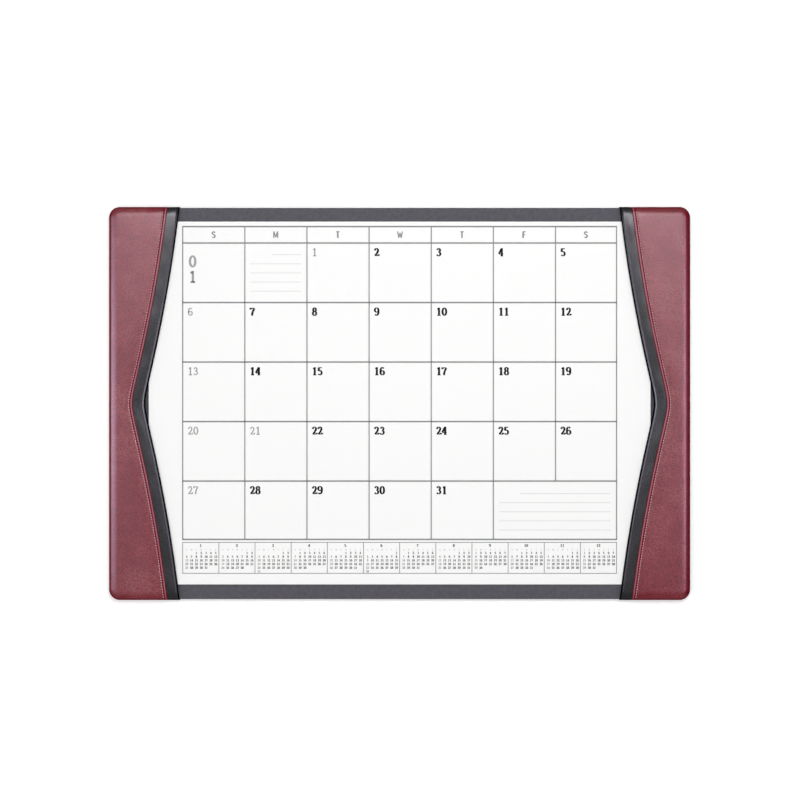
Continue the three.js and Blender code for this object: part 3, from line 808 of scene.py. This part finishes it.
# %% Both bands
BAND_THICKNESS = 0.75
LIP_SHADE = (1.1, 2.1)
HEM_SHADE = (0.2, 2.2)


def black_band(side, phase):
    """A band with its shares of painted shade, which ease away from the lip, the ends and the hem."""
    points, faces = band_sheet(phase)
    piece = make_piece(f"{side}_band_hide", *on_side(side, points, faces), black_leather, "black_leather")
    from_lip = points[:, 0] - rail_curve(points[:, 1], LIP_WIDTHS)
    from_panel = rail_curve(points[:, 1], SEAM_WIDTHS) - points[:, 0]
    from_edge = np.minimum(from_lip, rim_distance(*points[:, :2].T))
    # Painted shade along the lip and the ends, and where the band runs in under the panel's hem.
    give_shade(piece, "edge", 1 - ease(*LIP_SHADE, from_edge))
    give_shade(piece, "seam", 1 - ease(*HEM_SHADE, from_panel))
    thicken(piece, BAND_THICKNESS)
    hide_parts(f"{side}_trim_band")
    return piece


band_pieces = [black_band("left", 1.1), black_band("right", 3.2)]
print("Band faces each:", len(band_pieces[0].data.polygons))

# %% [markdown]
# ## Seam thread
#
# The stitches are short lengths of thread that rise from one hole and dive into the next. A Curve with a
# round bevel could run the whole seam, but hundreds of stitches are lighter as copies of one small tube with
# few faces, thinner and lower at its ends. They are set by adding arrays: the places, the directions and the
# tube's own points.

# %% One stitch
THREAD_RADIUS = 0.46
STITCH_LENGTH = 1.9
STITCH_ARCH = 0.28
STITCH_STEPS = 9
STITCH_SIDES = 8


def stitch_tube():
    """One stitch along y: a round section carried along a shallow arch, nearly closing at both ends."""
    along = np.linspace(-1, 1, STITCH_STEPS)
    swell = np.sqrt(np.clip(1 - along ** 4, 0.02, 1))
    turn = np.linspace(0, 2 * np.pi, STITCH_SIDES, endpoint=False)
    x = THREAD_RADIUS * swell[:, None] * np.cos(turn)
    z = THREAD_RADIUS * swell[:, None] * np.sin(turn) + STITCH_ARCH * (1 - along[:, None] ** 2)
    y = np.repeat(along[:, None] * STITCH_LENGTH / 2, STITCH_SIDES, axis=1)
    numbers = np.arange(STITCH_STEPS * STITCH_SIDES).reshape(STITCH_STEPS, STITCH_SIDES)
    loop = np.hstack([numbers, numbers[:, :1]])
    return np.stack([x, y, z], axis=-1).reshape(-1, 3), grid_faces(loop), numbers


print("Faces of one stitch:", len(stitch_tube()[1]) + 2)

# %% [markdown]
# ### Rows of stitches
#
# Places are spaced by length along the seam. Each stitch is turned to the seam's lean, then laid on the
# crown's own height, a little sunk, so that it comes down over the rolled ends with the leather.

# %% Both rows of stitches
SEAM_END = 2.5
THREAD_SINK = 0.22


def seam_thread(side):
    """Stitches turned by the lean's cosine and sine, moved to their places and laid on the leather."""
    tube, tube_faces, numbers = stitch_tube()
    fine = np.linspace(-HALF_DEPTH + SEAM_END, HALF_DEPTH - SEAM_END, 4000)
    length = seam_length(fine)
    count = int((length[-1] - length[0]) / STITCH_PITCH)
    middle = (np.arange(count) + 0.5 - np.round(count / 2)) * STITCH_PITCH
    y = np.interp(middle, length, fine)
    lean = np.arctan(seam_slope(y))
    x = rail_curve(y, SEAM_WIDTHS) + HEM_WIDTH / seam_cosine(y)
    turned = np.stack([
        np.cos(lean)[:, None] * tube[:, 0] + np.sin(lean)[:, None] * tube[:, 1],
        np.cos(lean)[:, None] * tube[:, 1] - np.sin(lean)[:, None] * tube[:, 0],
        np.repeat(tube[None, :, 2], count, axis=0)], axis=-1)
    points = turned + np.stack([x, y, np.zeros(count)], axis=-1)[:, None, :]
    bed = rolled(SEAM_LEVEL + 0.02, points[..., 0], points[..., 1])
    points[..., 2] += bed - THREAD_SINK
    offsets = (np.arange(count) * len(tube))[:, None, None]
    faces = [tuple(face) for face in (tube_faces[None] + offsets).reshape(-1, 4)]
    caps = [numbers[0][::-1], numbers[-1]]
    faces += [tuple(cap + offset) for offset in offsets.ravel() for cap in caps]
    points = points.reshape(-1, 3)
    if side == "left":
        points = points * np.array([-1.0, 1.0, 1.0])
        faces = [face[::-1] for face in faces]
    return make_piece(f"{side}_seam_thread", points, faces, thread, "burgundy_leather")


thread_pieces = [seam_thread("left"), seam_thread("right")]
print("Thread faces each:", len(thread_pieces[0].data.polygons))

# %% [markdown]
# ## Covered board
#
# The covering is one sheet, drawn over the board's top, round its edges and a little way in underneath.
# Its edge is not sharp, because leather can't fold to a point, so the rim turns down and in with a small
# radius. Rings that follow the outline carry that profile, and the top ring is closed with one flat face.

# %% Board covering
COVER_THICKNESS = 0.45
TURN_IN = 15.0
RIM_STEPS = 9


def outline_ring(inset, height, corner, half_x, half_y):
    """A rounded rectangle: quarter circles of points at four corners, drawn in by an inset."""
    radius = corner - min(inset, corner - 0.5)
    turn = np.linspace(0, np.pi / 2, RIM_STEPS)
    centre_x = half_x - inset - radius
    centre_y = half_y - inset - radius
    parts = []
    for quarter, (sx, sy) in enumerate(((1, 1), (-1, 1), (-1, -1), (1, -1))):
        angle = turn + quarter * np.pi / 2
        parts.append(np.column_stack([sx * centre_x + radius * np.cos(angle),
                                      sy * centre_y + radius * np.sin(angle)]))
    ring = np.vstack(parts)
    return np.column_stack([ring, np.full(len(ring), height)])


def board_covering():
    """Rings from under the board, up its edge and onto its top, then one face to close the top."""
    low, high = facing_low[2], facing_high[2]
    profile = [(TURN_IN, low), (1.2, low), (0.5, low + 0.12), (0.12, low + 0.5), (0.0, low + 1.0),
               (0.0, high - 0.9), (0.12, high - 0.42), (0.45, high - 0.12), (1.0, high - 0.01), (1.8, high)]
    rings = [outline_ring(inset, height, CORNER_RADIUS, facing_high[0], facing_high[1])
             for inset, height in profile]
    count = len(rings[0])
    numbers = np.arange(len(rings) * count).reshape(len(rings), count)
    loop = np.hstack([numbers, numbers[:, :1]])
    faces = [tuple(face) for face in grid_faces(loop)] + [tuple(numbers[-1])]
    piece = make_piece("board_covering", np.vstack(rings), faces, bonded_leather, "facing")
    piece.data.polygons[-1].use_smooth = False
    thicken(piece, COVER_THICKNESS)
    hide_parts("board_facing")
    return piece


covering = board_covering()
print("Covering faces:", len(covering.data.polygons))

# %% [markdown]
# ## Calendar sheets
#
# A year's sheets lie in a stack no thicker than a coin. Their edges never line up exactly, and the near and
# far edges lift a hair where no rail holds them down. One box would look moulded, so each sheet is a closed
# slab over the same grid, with its own tiny shift, and a sheet that lies higher lifts a little more.

# %% Sheets
SHEET_COUNT = 12
EDGE_LIFT = 0.22
LIFT_RUN = 30
ACROSS_POINTS = 29
SLAB_GAP = 0.06


def sheet_lift(x, y):
    """Lift of the near and far edges between the rails, eased to nothing within a run and squared."""
    to_edge = np.minimum(y - sheet_low[1], sheet_high[1] - y)
    between_rails = 1 - ease(0.55, 0.85, np.abs(x) / sheet_high[0])
    return EDGE_LIFT * (1 - ease(0, LIFT_RUN, to_edge)) ** 2 * between_rails


def paper_stack():
    """Closed slabs, one on another: a top grid and a bottom grid joined round the rim for each sheet."""
    seeded = np.random.default_rng(7)
    thickness = (sheet_high[2] - sheet_low[2]) / SHEET_COUNT
    near, between, far = np.linspace(-1, -0.86, 8), np.linspace(-0.86, 0.86, 7), np.linspace(0.86, 1, 8)
    columns = np.linspace(-1, 1, ACROSS_POINTS)
    across, along = np.meshgrid(columns, np.concatenate([near[:-1], between, far[1:]]))
    middle = (sheet_low + sheet_high) / 2
    half = (sheet_high - sheet_low) / 2
    all_points, all_faces, first = [], [], 0
    for number in range(SHEET_COUNT):
        top_sheet = number == SHEET_COUNT - 1
        shift = np.zeros(2) if top_sheet else seeded.uniform(-0.25, 0.05, 2)
        x = middle[0] + across * (half[0] + shift[0])
        y = middle[1] + along * (half[1] + shift[1])
        lift = sheet_lift(x, y) * (number + 1) / SHEET_COUNT
        floor = sheet_low[2] + number * thickness
        grids = [np.stack([x, y, floor + part * thickness + lift], axis=-1) for part in (SLAB_GAP, 1.0)]
        numbers = first + np.arange(2 * x.size).reshape(2, *x.shape)
        rim = [np.concatenate([n[0], n[1:, -1], n[-1, -2::-1], n[-2:0:-1, 0], n[0, :1]]) for n in numbers]
        all_faces += [grid_faces(numbers[1]), grid_faces(numbers[0])[:, ::-1], grid_faces(np.vstack(rim))]
        all_points += [grid.reshape(-1, 3) for grid in grids]
        first += 2 * x.size
    piece = make_piece("month_sheets", np.vstack(all_points), np.vstack(all_faces), bond_paper, "paper",
                       False)
    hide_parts("calendar_pad")
    return piece


sheets = paper_stack()
print(SHEET_COUNT, "sheets have", len(sheets.data.polygons), "faces")

# %% [markdown]
# ## Printed lines
#
# Ink has no thickness that an eye can see. An image texture would blur when seen close, so each line is a
# flat ribbon that lies a fiftieth of a millimetre above the paper and follows its lift.

# %% Ribbons of ink
INK_HEIGHT = 0.02
RIBBON_STEP = 9.0


def on_paper(x, y):
    """Points that lie on the printed face of the top sheet."""
    return np.stack([x, y, SHEET_TOP + INK_HEIGHT + sheet_lift(x, y)], axis=-1)


def ribbon(start, end, width):
    """A straight band of ink: its ends moved half a width to each side, in steps along its length."""
    start, end = np.array(start, float), np.array(end, float)
    length = np.hypot(*(end - start))
    sideways = np.array([start[1] - end[1], end[0] - start[0]]) / length * width / 2
    t = np.linspace(0, 1, max(2, int(length / RIBBON_STEP) + 1))[:, None]
    middle = start + (end - start) * t
    edges = np.stack([middle + sideways, middle - sideways], axis=1)
    return on_paper(edges[..., 0], edges[..., 1])


def ink_piece(name, ribbons, ink, replaced=()):
    """Ribbons joined as one mesh; each is turned so that its faces look up."""
    points, faces, first = [], [], 0
    for strip in ribbons:
        count = len(strip)
        numbers = first + np.arange(2 * count).reshape(count, 2)
        cells = grid_faces(numbers)
        a, b, d = (strip.reshape(-1, 3)[cells[:, k] - first] for k in (0, 1, 3))
        looks_up = np.cross(b - a, d - a)[:, 2] > 0
        faces.append(np.where(looks_up[:, None], cells, cells[:, ::-1]))
        points.append(strip.reshape(-1, 3))
        first += 2 * count
    piece = make_piece(name, np.vstack(points), np.vstack(faces), ink, "print_ink", False)
    if replaced:
        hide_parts(*replaced)
    return piece


def frame_lines(uprights, levels, width, level_width):
    """Ribbons for a table of upright and level lines; level lines run on to cover the corners."""
    half = width / 2
    lines = [ribbon((uprights[0] - half, y), (uprights[-1] + half, y), level_width) for y in levels]
    return lines + [ribbon((x, levels[0]), (x, levels[-1]), width) for x in uprights]


print("A line across the sheet has", len(ribbon((-250, 0), (250, 0), 1)), "pairs of points")

# %% [markdown]
# ### The month's grid
#
# The grid's places come from the solids: seven columns, a heading row and five weeks. The last column and
# the last week are a little smaller than the others. The last week ends in one wide cell, so one upright
# stops a week short.

# %% Month grid
DAY_COLUMNS = 7
WEEK_ROWS = 5
LINE_WIDTH = 1.3
LEVEL_WIDTH = 1.65
HEADING_DEPTH = 18.3
GRID_INSET = 0.6
GRID_LEFT, GRID_RIGHT = grid_low[0] + GRID_INSET, grid_high[0] - GRID_INSET
GRID_NEAR, GRID_FAR = grid_low[1] + GRID_INSET, grid_high[1] - GRID_INSET
LAST_COLUMN_SHORT = 1.2
LAST_WEEK_SHORT = 1.3
DAY_PITCH = (GRID_RIGHT - GRID_LEFT + LAST_COLUMN_SHORT) / DAY_COLUMNS
WEEK_PITCH = (GRID_FAR - HEADING_DEPTH - GRID_NEAR + LAST_WEEK_SHORT) / WEEK_ROWS

uprights = [GRID_LEFT + day * DAY_PITCH for day in range(DAY_COLUMNS)] + [GRID_RIGHT]
week_lines = [GRID_FAR - HEADING_DEPTH - week * WEEK_PITCH for week in range(WEEK_ROWS)]
grid_ribbons = frame_lines([GRID_LEFT, GRID_RIGHT], [GRID_NEAR] + week_lines[::-1] + [GRID_FAR],
                           LINE_WIDTH, LEVEL_WIDTH)
for day in range(1, DAY_COLUMNS):
    foot = week_lines[-1] if day == DAY_COLUMNS - 1 else GRID_NEAR
    grid_ribbons.append(ribbon((uprights[day], foot), (uprights[day], GRID_FAR), LINE_WIDTH))
ink_piece("month_grid_lines", grid_ribbons, line_ink, ("printed_grid",))
print("Day cells are", round(DAY_PITCH, 1), "by", round(WEEK_PITCH, 1), "mm")

# %% [markdown]
# ### The strip of months
#
# Below the grid lies a strip with a small cell for each month of the year, ruled with a finer line.

# %% Year strip lines
STRIP_LINE = 0.8
STRIP_INSET = 0.45
STRIP_LEFT, STRIP_RIGHT = strip_low[0] + STRIP_INSET, strip_high[0] - STRIP_INSET
STRIP_NEAR, STRIP_FAR = strip_low[1] + STRIP_INSET, strip_high[1] - STRIP_INSET
MONTHS = 12
MONTH_PITCH = (STRIP_RIGHT - STRIP_LEFT) / MONTHS
month_edges = [STRIP_LEFT + month * MONTH_PITCH for month in range(MONTHS + 1)]
ink_piece("year_strip_lines", frame_lines(month_edges, [STRIP_NEAR, STRIP_FAR], STRIP_LINE, STRIP_LINE),
          line_ink, ("month_strip_print",))
print("Month cells are", round(MONTH_PITCH, 1), "mm wide")

# %% [markdown]
# ## Ruled note lines
#
# Two cells are ruled for notes: one at the start of the first week, and the wide one at the end of the last.
# The top line of each leaves room for a heading.

# %% Note lines
NOTE_PITCH = 10.15
NOTE_LINES = 5
NOTE_MARGIN = 6.3
NOTE_INDENT = 24.0
NOTE_WIDTH = 0.9
FIRST_NOTE = 13.0
LAST_NOTE = 13.9


def note_lines(left, right, first):
    """Evenly spaced rules across a cell, the first one indented."""
    lines = []
    for number in range(NOTE_LINES):
        start = left + NOTE_MARGIN + (NOTE_INDENT if number == 0 else 0)
        y = first - number * NOTE_PITCH
        lines.append(ribbon((start, y), (right - NOTE_MARGIN, y), NOTE_WIDTH))
    return lines


rules = note_lines(uprights[1], uprights[2], week_lines[0] - FIRST_NOTE)
rules += note_lines(uprights[5], uprights[7], week_lines[4] - LAST_NOTE)
ink_piece("note_rules", rules, faint_ink)
print("Note rules:", len(rules))

# %% [markdown]
# ## Numerals
#
# Blender's Text object would set them in its own font, which is far from old book figures. Here they are
# drawn with a broad pen: a figure is a few strokes, and each stroke is thick where it runs up or down and
# thin where it runs across. Slab feet and flags are short straight strokes. A stroke is a list of points in
# a cell one unit high.

# %% Pen strokes
def arc(cx, cy, rx, ry, start, end, count=9):
    """Points on an ellipse between two angles in degrees."""
    angle = np.radians(np.linspace(start, end, count))
    return np.column_stack([cx + rx * np.cos(angle), cy + ry * np.sin(angle)])


def path(*pieces):
    """Joins points and arcs into one list of points."""
    return np.vstack([np.atleast_2d(piece) for piece in pieces])


GLYPHS = {
    "0": [arc(0.31, 0.5, 0.23, 0.45, 0, 360, 25)],
    "1": [path((0.33, 0.0), (0.33, 1.0)), path((0.33, 0.92), (0.12, 0.80)), path((0.12, 0.04), (0.54, 0.04))],
    "2": [path((0.10, 0.70), arc(0.29, 0.72, 0.19, 0.23, 170, -20), (0.34, 0.36), (0.10, 0.06)),
          path((0.08, 0.07), (0.54, 0.07)), path((0.54, 0.05), (0.57, 0.24))],
    "3": [path((0.11, 0.76), arc(0.29, 0.73, 0.17, 0.22, 150, -80), (0.25, 0.52)),
          path((0.25, 0.53), arc(0.28, 0.28, 0.22, 0.24, 85, -160))],
    "4": [path((0.42, 0.0), (0.42, 1.0)), path((0.40, 0.96), (0.05, 0.29)), path((0.04, 0.27), (0.60, 0.27)),
          path((0.26, 0.03), (0.58, 0.03))],
    "5": [path((0.15, 0.93), (0.53, 0.93)), path((0.16, 0.96), (0.13, 0.52)),
          path((0.13, 0.52), arc(0.29, 0.31, 0.22, 0.27, 110, -150))],
    "6": [path((0.49, 0.82), arc(0.33, 0.56, 0.23, 0.39, 70, 190),
               arc(0.32, 0.30, 0.22, 0.26, 180, 520, 21))],
    "7": [path((0.07, 0.92), (0.57, 0.92)), path((0.08, 0.98), (0.08, 0.74)),
          path((0.55, 0.90), (0.38, 0.55), (0.29, 0.26), (0.27, 0.0))],
    "8": [arc(0.31, 0.74, 0.17, 0.22, 0, 360, 21), arc(0.31, 0.28, 0.21, 0.25, 0, 360, 21)],
    "S": [path((0.50, 0.76), arc(0.31, 0.75, 0.19, 0.20, 30, 220), arc(0.31, 0.27, 0.21, 0.22, 50, -150))],
    "M": [path((0.10, 0.0), (0.10, 1.0)), path((0.12, 0.98), (0.40, 0.10)), path((0.40, 0.10), (0.68, 0.98)),
          path((0.70, 0.0), (0.70, 1.0))],
    "T": [path((0.30, 0.0), (0.30, 1.0)), path((0.03, 0.96), (0.57, 0.96))],
    "W": [path((0.03, 1.0), (0.22, 0.03)), path((0.22, 0.03), (0.40, 0.80)), path((0.40, 0.80), (0.58, 0.03)),
          path((0.58, 0.03), (0.77, 1.0))],
    "F": [path((0.14, 0.0), (0.14, 1.0)), path((0.10, 0.96), (0.54, 0.96)), path((0.14, 0.52), (0.46, 0.52))],
}
GLYPHS["9"] = [np.array([0.62, 1.0]) - stroke for stroke in GLYPHS["6"]]
print("Figures and initials drawn:", "".join(sorted(GLYPHS)))

# %% [markdown]
# ### From strokes to ink
#
# The pen's width follows the direction of the stroke, so the ribbon is wide on uprights and narrow on levels.
# The wide initials have their strokes close together, so theirs are drawn finer.

# %% Setting figures
GLYPH_ADVANCE = {"M": 0.86, "W": 0.86}
FIGURE_ADVANCE = 0.69
CLOSE_STROKES = 0.72


def glyph_ribbons(letter, x, y, height, thick, thin):
    """A figure's strokes as ribbons: width runs from thin to thick with the upright share of the run."""
    strips = []
    for stroke in GLYPHS[letter]:
        points = stroke * height + np.array([x, y])
        run = np.gradient(points, axis=0)
        run /= np.linalg.norm(run, axis=1)[:, None]
        width = thin + (thick - thin) * np.abs(run[:, 1:2]) ** 1.5
        width *= CLOSE_STROKES if letter in GLYPH_ADVANCE else 1.0
        sideways = np.column_stack([-run[:, 1], run[:, 0]]) * width / 2
        edges = np.stack([points + sideways, points - sideways], axis=1)
        strips.append(on_paper(edges[..., 0], edges[..., 1]))
    return strips


def words(text, x, y, height, thick, thin, centred=False):
    """Figures set side by side from a left foot, or about a middle."""
    advances = [GLYPH_ADVANCE.get(letter, FIGURE_ADVANCE) * height for letter in text]
    start = x - sum(advances) / 2 if centred else x
    strips = []
    for letter, advance in zip(text, advances):
        strips += glyph_ribbons(letter, start, y, height, thick, thin)
        start += advance
    return strips


print("The figures 31 take", len(words("31", 0, 0, 1, 0.2, 0.1)), "strokes")

# %% [markdown]
# ## The month's figures
#
# The month shown begins on the third day of its week. Its dates are black, with the first column and two
# other days in light grey. The first cell holds the month's number in two large figures, and the headings
# are the plain initials of the days.

# %% Dates
FIRST_WEEKDAY = 2
MONTH_DAYS = [31, 28, 31, 30, 31, 30, 31, 31, 30, 31, 30, 31]
LIGHT_DATES = {1, 21}
DATE_HEIGHT = 8.9
DATE_INDENT = 5.7
DATE_DROP = 5.7
DARK_PEN = (2.45, 1.1)
LIGHT_PEN = (1.5, 0.95)
MONTH_FIGURES = "01"
MONTH_HEIGHT = 13.0
MONTH_INDENT = 7.0
MONTH_DROP = 27.0
MONTH_STEP = 17.0
MONTH_PEN = (2.6, 1.9)

dark_strips, light_strips = [], []
for date in range(1, MONTH_DAYS[0] + 1):
    week, day = divmod(date - 1 + FIRST_WEEKDAY, DAY_COLUMNS)
    is_light = day == 0 or date in LIGHT_DATES
    foot = week_lines[week] - DATE_DROP - DATE_HEIGHT
    strips = words(str(date), uprights[day] + DATE_INDENT, foot, DATE_HEIGHT,
                   *(LIGHT_PEN if is_light else DARK_PEN))
    (light_strips if is_light else dark_strips).extend(strips)
for place, figure in enumerate(MONTH_FIGURES):
    foot = week_lines[0] - MONTH_DROP - MONTH_STEP * place
    light_strips += words(figure, uprights[0] + MONTH_INDENT, foot, MONTH_HEIGHT, *MONTH_PEN)
ink_piece("date_figures", dark_strips, black_ink)
ink_piece("light_figures", light_strips, light_ink)
print("Strokes in the dates:", len(dark_strips), "dark and", len(light_strips), "light")

# %% [markdown]
# ### Heading initials
#
# The seven headings stand about the middle of their columns, in the grey of the grid's lines.

# %% Heading initials
WEEKDAY_INITIALS = "SMTWTFS"
HEADING_HEIGHT = 7.2
HEADING_FOOT = 12.6
HEADING_PEN = (1.8, 1.1)
heading_strips = []
for day, initial in enumerate(WEEKDAY_INITIALS):
    middle = (uprights[day] + uprights[day + 1]) / 2
    heading_strips += words(initial, middle, GRID_FAR - HEADING_FOOT, HEADING_HEIGHT, *HEADING_PEN, True)
ink_piece("heading_initials", heading_strips, line_ink)
print("Strokes in the headings:", len(heading_strips))

# %% [markdown]
# ## The year's figures
#
# The strip holds all twelve months of the same year, so each month's first weekday is worked out from the
# days before it. Each month has its number above, a row of tiny initials, and its dates. The dates are only
# 2.5 mm high, so their pen is more even than the large one.

# %% Year strip figures
SMALL_HEIGHT = 2.5
SMALL_PEN = (0.72, 0.46)
SMALL_PITCH = 5.38
SMALL_ROW = 4.12
SMALL_INDENT = 4.6
SMALL_FOOT = 13.0
NUMBER_HEIGHT = 3.1
NUMBER_PEN = (0.95, 0.55)
NUMBER_FOOT = 5.0
TINY_HEIGHT = 1.7
TINY_PEN = (0.32, 0.2)
TINY_FOOT = 9.0
small_dark, small_light = [], []
first_day = FIRST_WEEKDAY
for month, days in enumerate(MONTH_DAYS):
    left = month_edges[month]
    centre = left + MONTH_PITCH / 2
    small_dark += words(str(month + 1), centre, STRIP_FAR - NUMBER_FOOT, NUMBER_HEIGHT, *NUMBER_PEN, True)
    for day, initial in enumerate(WEEKDAY_INITIALS):
        small_light += words(initial, left + SMALL_INDENT + day * SMALL_PITCH, STRIP_FAR - TINY_FOOT,
                             TINY_HEIGHT, *TINY_PEN, True)
    for date in range(1, days + 1):
        week, day = divmod(date - 1 + first_day, DAY_COLUMNS)
        strips = words(str(date), left + SMALL_INDENT + day * SMALL_PITCH,
                       STRIP_FAR - SMALL_FOOT - week * SMALL_ROW, SMALL_HEIGHT, *SMALL_PEN, True)
        (small_light if day == 0 else small_dark).extend(strips)
    first_day = (first_day + days) % DAY_COLUMNS
ink_piece("year_strip_figures", small_dark, small_ink)
ink_piece("year_strip_light_figures", small_light, light_ink)
print("Small figures' strokes:", len(small_dark) + len(small_light))

# %% [markdown]
# ## Camera
#
# The pad is seen from straight above, with its far edge at the top of the picture. A long lens from well
# above keeps the upright sides of the rails out of sight.

# %% Camera
FRAME_WIDTH = 891.0
LENS = 100.0
SENSOR = 36.0
AIM = (0.4, 3.9)
camera_data = bpy.data.cameras.new("overhead_camera")
camera_data.lens = LENS
camera_data.sensor_width = SENSOR
camera = bpy.data.objects.new("overhead_camera", camera_data)
camera.location = (AIM[0] / MM, AIM[1] / MM, (FRAME_WIDTH * LENS / SENSOR + SHEET_TOP) / MM)
bpy.context.scene.collection.objects.link(camera)
bpy.context.scene.camera = camera
print("The camera is", round(camera.location.z, 2), "m above the desk")

# %% [markdown]
# ## Floor
#
# The background is white paper. Its own colour is pale, and a little light is added to it for the camera
# alone, so that it reads as white while the pad's soft shadow stays. Away from the lamps that light grows,
# so that the paper stays white in low views too.

# %% Floor
FLOOR_REACH = 6.0
NEAR_GLOW = (0.5, 0.3)
FAR_GLOW = (2.5, 0.65)
corners = [(-1, -1, 0), (1, -1, 0), (1, 1, 0), (-1, 1, 0)]
floor_mesh = bpy.data.meshes.new("floor")
floor_mesh.from_pydata([tuple(FLOOR_REACH * c for c in corner) for corner in corners], [], [(0, 1, 2, 3)])
floor = bpy.data.objects.new("floor", floor_mesh)
bpy.context.scene.collection.objects.link(floor)

floor_material, floor_tree, floor_place = new_material("white_backdrop_paper")
floor_base = add_node(floor_tree, "ShaderNodeBsdfDiffuse", inputs={"Color": linear("#F2F2F2")})
from_pad = add_node(floor_tree, "ShaderNodeVectorMath", {"operation": "LENGTH"}, {0: floor_place})
glow = add_node(floor_tree, "ShaderNodeMapRange", inputs={
    "Value": from_pad.outputs["Value"], "From Min": NEAR_GLOW[0], "From Max": FAR_GLOW[0],
    "To Min": NEAR_GLOW[1], "To Max": FAR_GLOW[1]})
floor_glow = add_node(floor_tree, "ShaderNodeEmission", inputs={
    "Color": linear("#FFFFFF"), "Strength": glow.outputs["Result"]})
floor_lit = add_node(floor_tree, "ShaderNodeAddShader")
floor_tree.links.new(floor_base.outputs[0], floor_lit.inputs[0])
floor_tree.links.new(floor_glow.outputs[0], floor_lit.inputs[1])
rays = add_node(floor_tree, "ShaderNodeLightPath")
seen = add_node(floor_tree, "ShaderNodeMixShader", inputs={"Fac": rays.outputs["Is Camera Ray"]})
floor_tree.links.new(floor_base.outputs[0], seen.inputs[1])
floor_tree.links.new(floor_lit.outputs[0], seen.inputs[2])
finish_material(floor_tree, seen)
floor_mesh.materials.append(floor_material)
print("The floor is", 2 * FLOOR_REACH, "m across")

# %% [markdown]
# ## World
#
# An even white world stands for the bright walls of a studio. It lights the pad at half strength, which
# leaves room for the lamps. The camera, reflections and rays through clear things see it at full strength,
# as a plain white.

# %% World
AMBIENT = 0.47
world = bpy.data.worlds.new("studio")
bpy.context.scene.world = world
world.use_nodes = True
sky = world.node_tree
sky.nodes.clear()
sky_rays = add_node(sky, "ShaderNodeLightPath")
either = add_node(sky, "ShaderNodeMath", {"operation": "MAXIMUM"}, {
    0: sky_rays.outputs["Is Camera Ray"], 1: sky_rays.outputs["Is Transmission Ray"]})
mirrored = add_node(sky, "ShaderNodeMath", {"operation": "MAXIMUM"}, {
    0: either.outputs[0], 1: sky_rays.outputs["Is Glossy Ray"]})
ambient = add_node(sky, "ShaderNodeBackground", inputs={"Color": linear("#FFFFFF"), "Strength": AMBIENT})
backdrop = add_node(sky, "ShaderNodeBackground", inputs={"Color": linear("#FFFFFF"), "Strength": 1.0})
sky_mix = add_node(sky, "ShaderNodeMixShader", inputs={"Fac": mirrored.outputs[0]})
sky.links.new(ambient.outputs[0], sky_mix.inputs[1])
sky.links.new(backdrop.outputs[0], sky_mix.inputs[2])
add_node(sky, "ShaderNodeOutputWorld", inputs={"Surface": sky_mix.outputs[0]})
print("World strength on the pad:", AMBIENT)

# %% [markdown]
# ## Lamps
#
# A large soft lamp beyond the far edge and a weaker one on the near left light the paper evenly, just short
# of clipping. Three more are for reflections only, so they add sheen to the leather without making the paper
# any lighter. One stands beside the far lamp and gives the far ends of the rails their sheen. Two long low
# ones at the sides draw a pale line along each rolled edge and each bead.

# %% Lamps
def soft_lamp(name, place, size, power, colour):
    """A rectangular lamp that faces the middle of the pad."""
    data = bpy.data.lights.new(name, "AREA")
    data.shape = "RECTANGLE"
    data.size, data.size_y = size
    data.energy = power
    data.color = linear(colour)[:3]
    lamp = bpy.data.objects.new(name, data)
    lamp.location = place
    direction = -lamp.location
    lamp.rotation_euler = direction.to_track_quat("-Z", "Y").to_euler()
    bpy.context.scene.collection.objects.link(lamp)
    return lamp


soft_lamp("far_softbox", (0.28, 0.62, 1.5), (1.2, 0.5), 12.0, "#FFFFFF")
soft_lamp("near_fill", (-0.9, -0.8, 1.5), (0.8, 0.8), 6.5, "#FFFFFF")
for name, place, size, power, colour in (
        ("far_sheen", (0.0, 0.64, 1.48), (1.2, 0.5), 44.0, "#FBF6FF"),
        ("left_strip", (-1.5, 0.0, 1.0), (0.4, 2.0), 84.0, "#E6DAF6"),
        ("right_strip", (1.5, 0.0, 1.0), (0.4, 2.0), 84.0, "#E6DAF6")):
    sheen_lamp = soft_lamp(name, place, size, power, colour)
    sheen_lamp.visible_diffuse = False
print("Lamps:", len(bpy.data.lights))

# %% [markdown]
# ## Colour handling
#
# Standard shows each colour as it is written.

bpy.context.scene.view_settings.view_transform = "Standard"
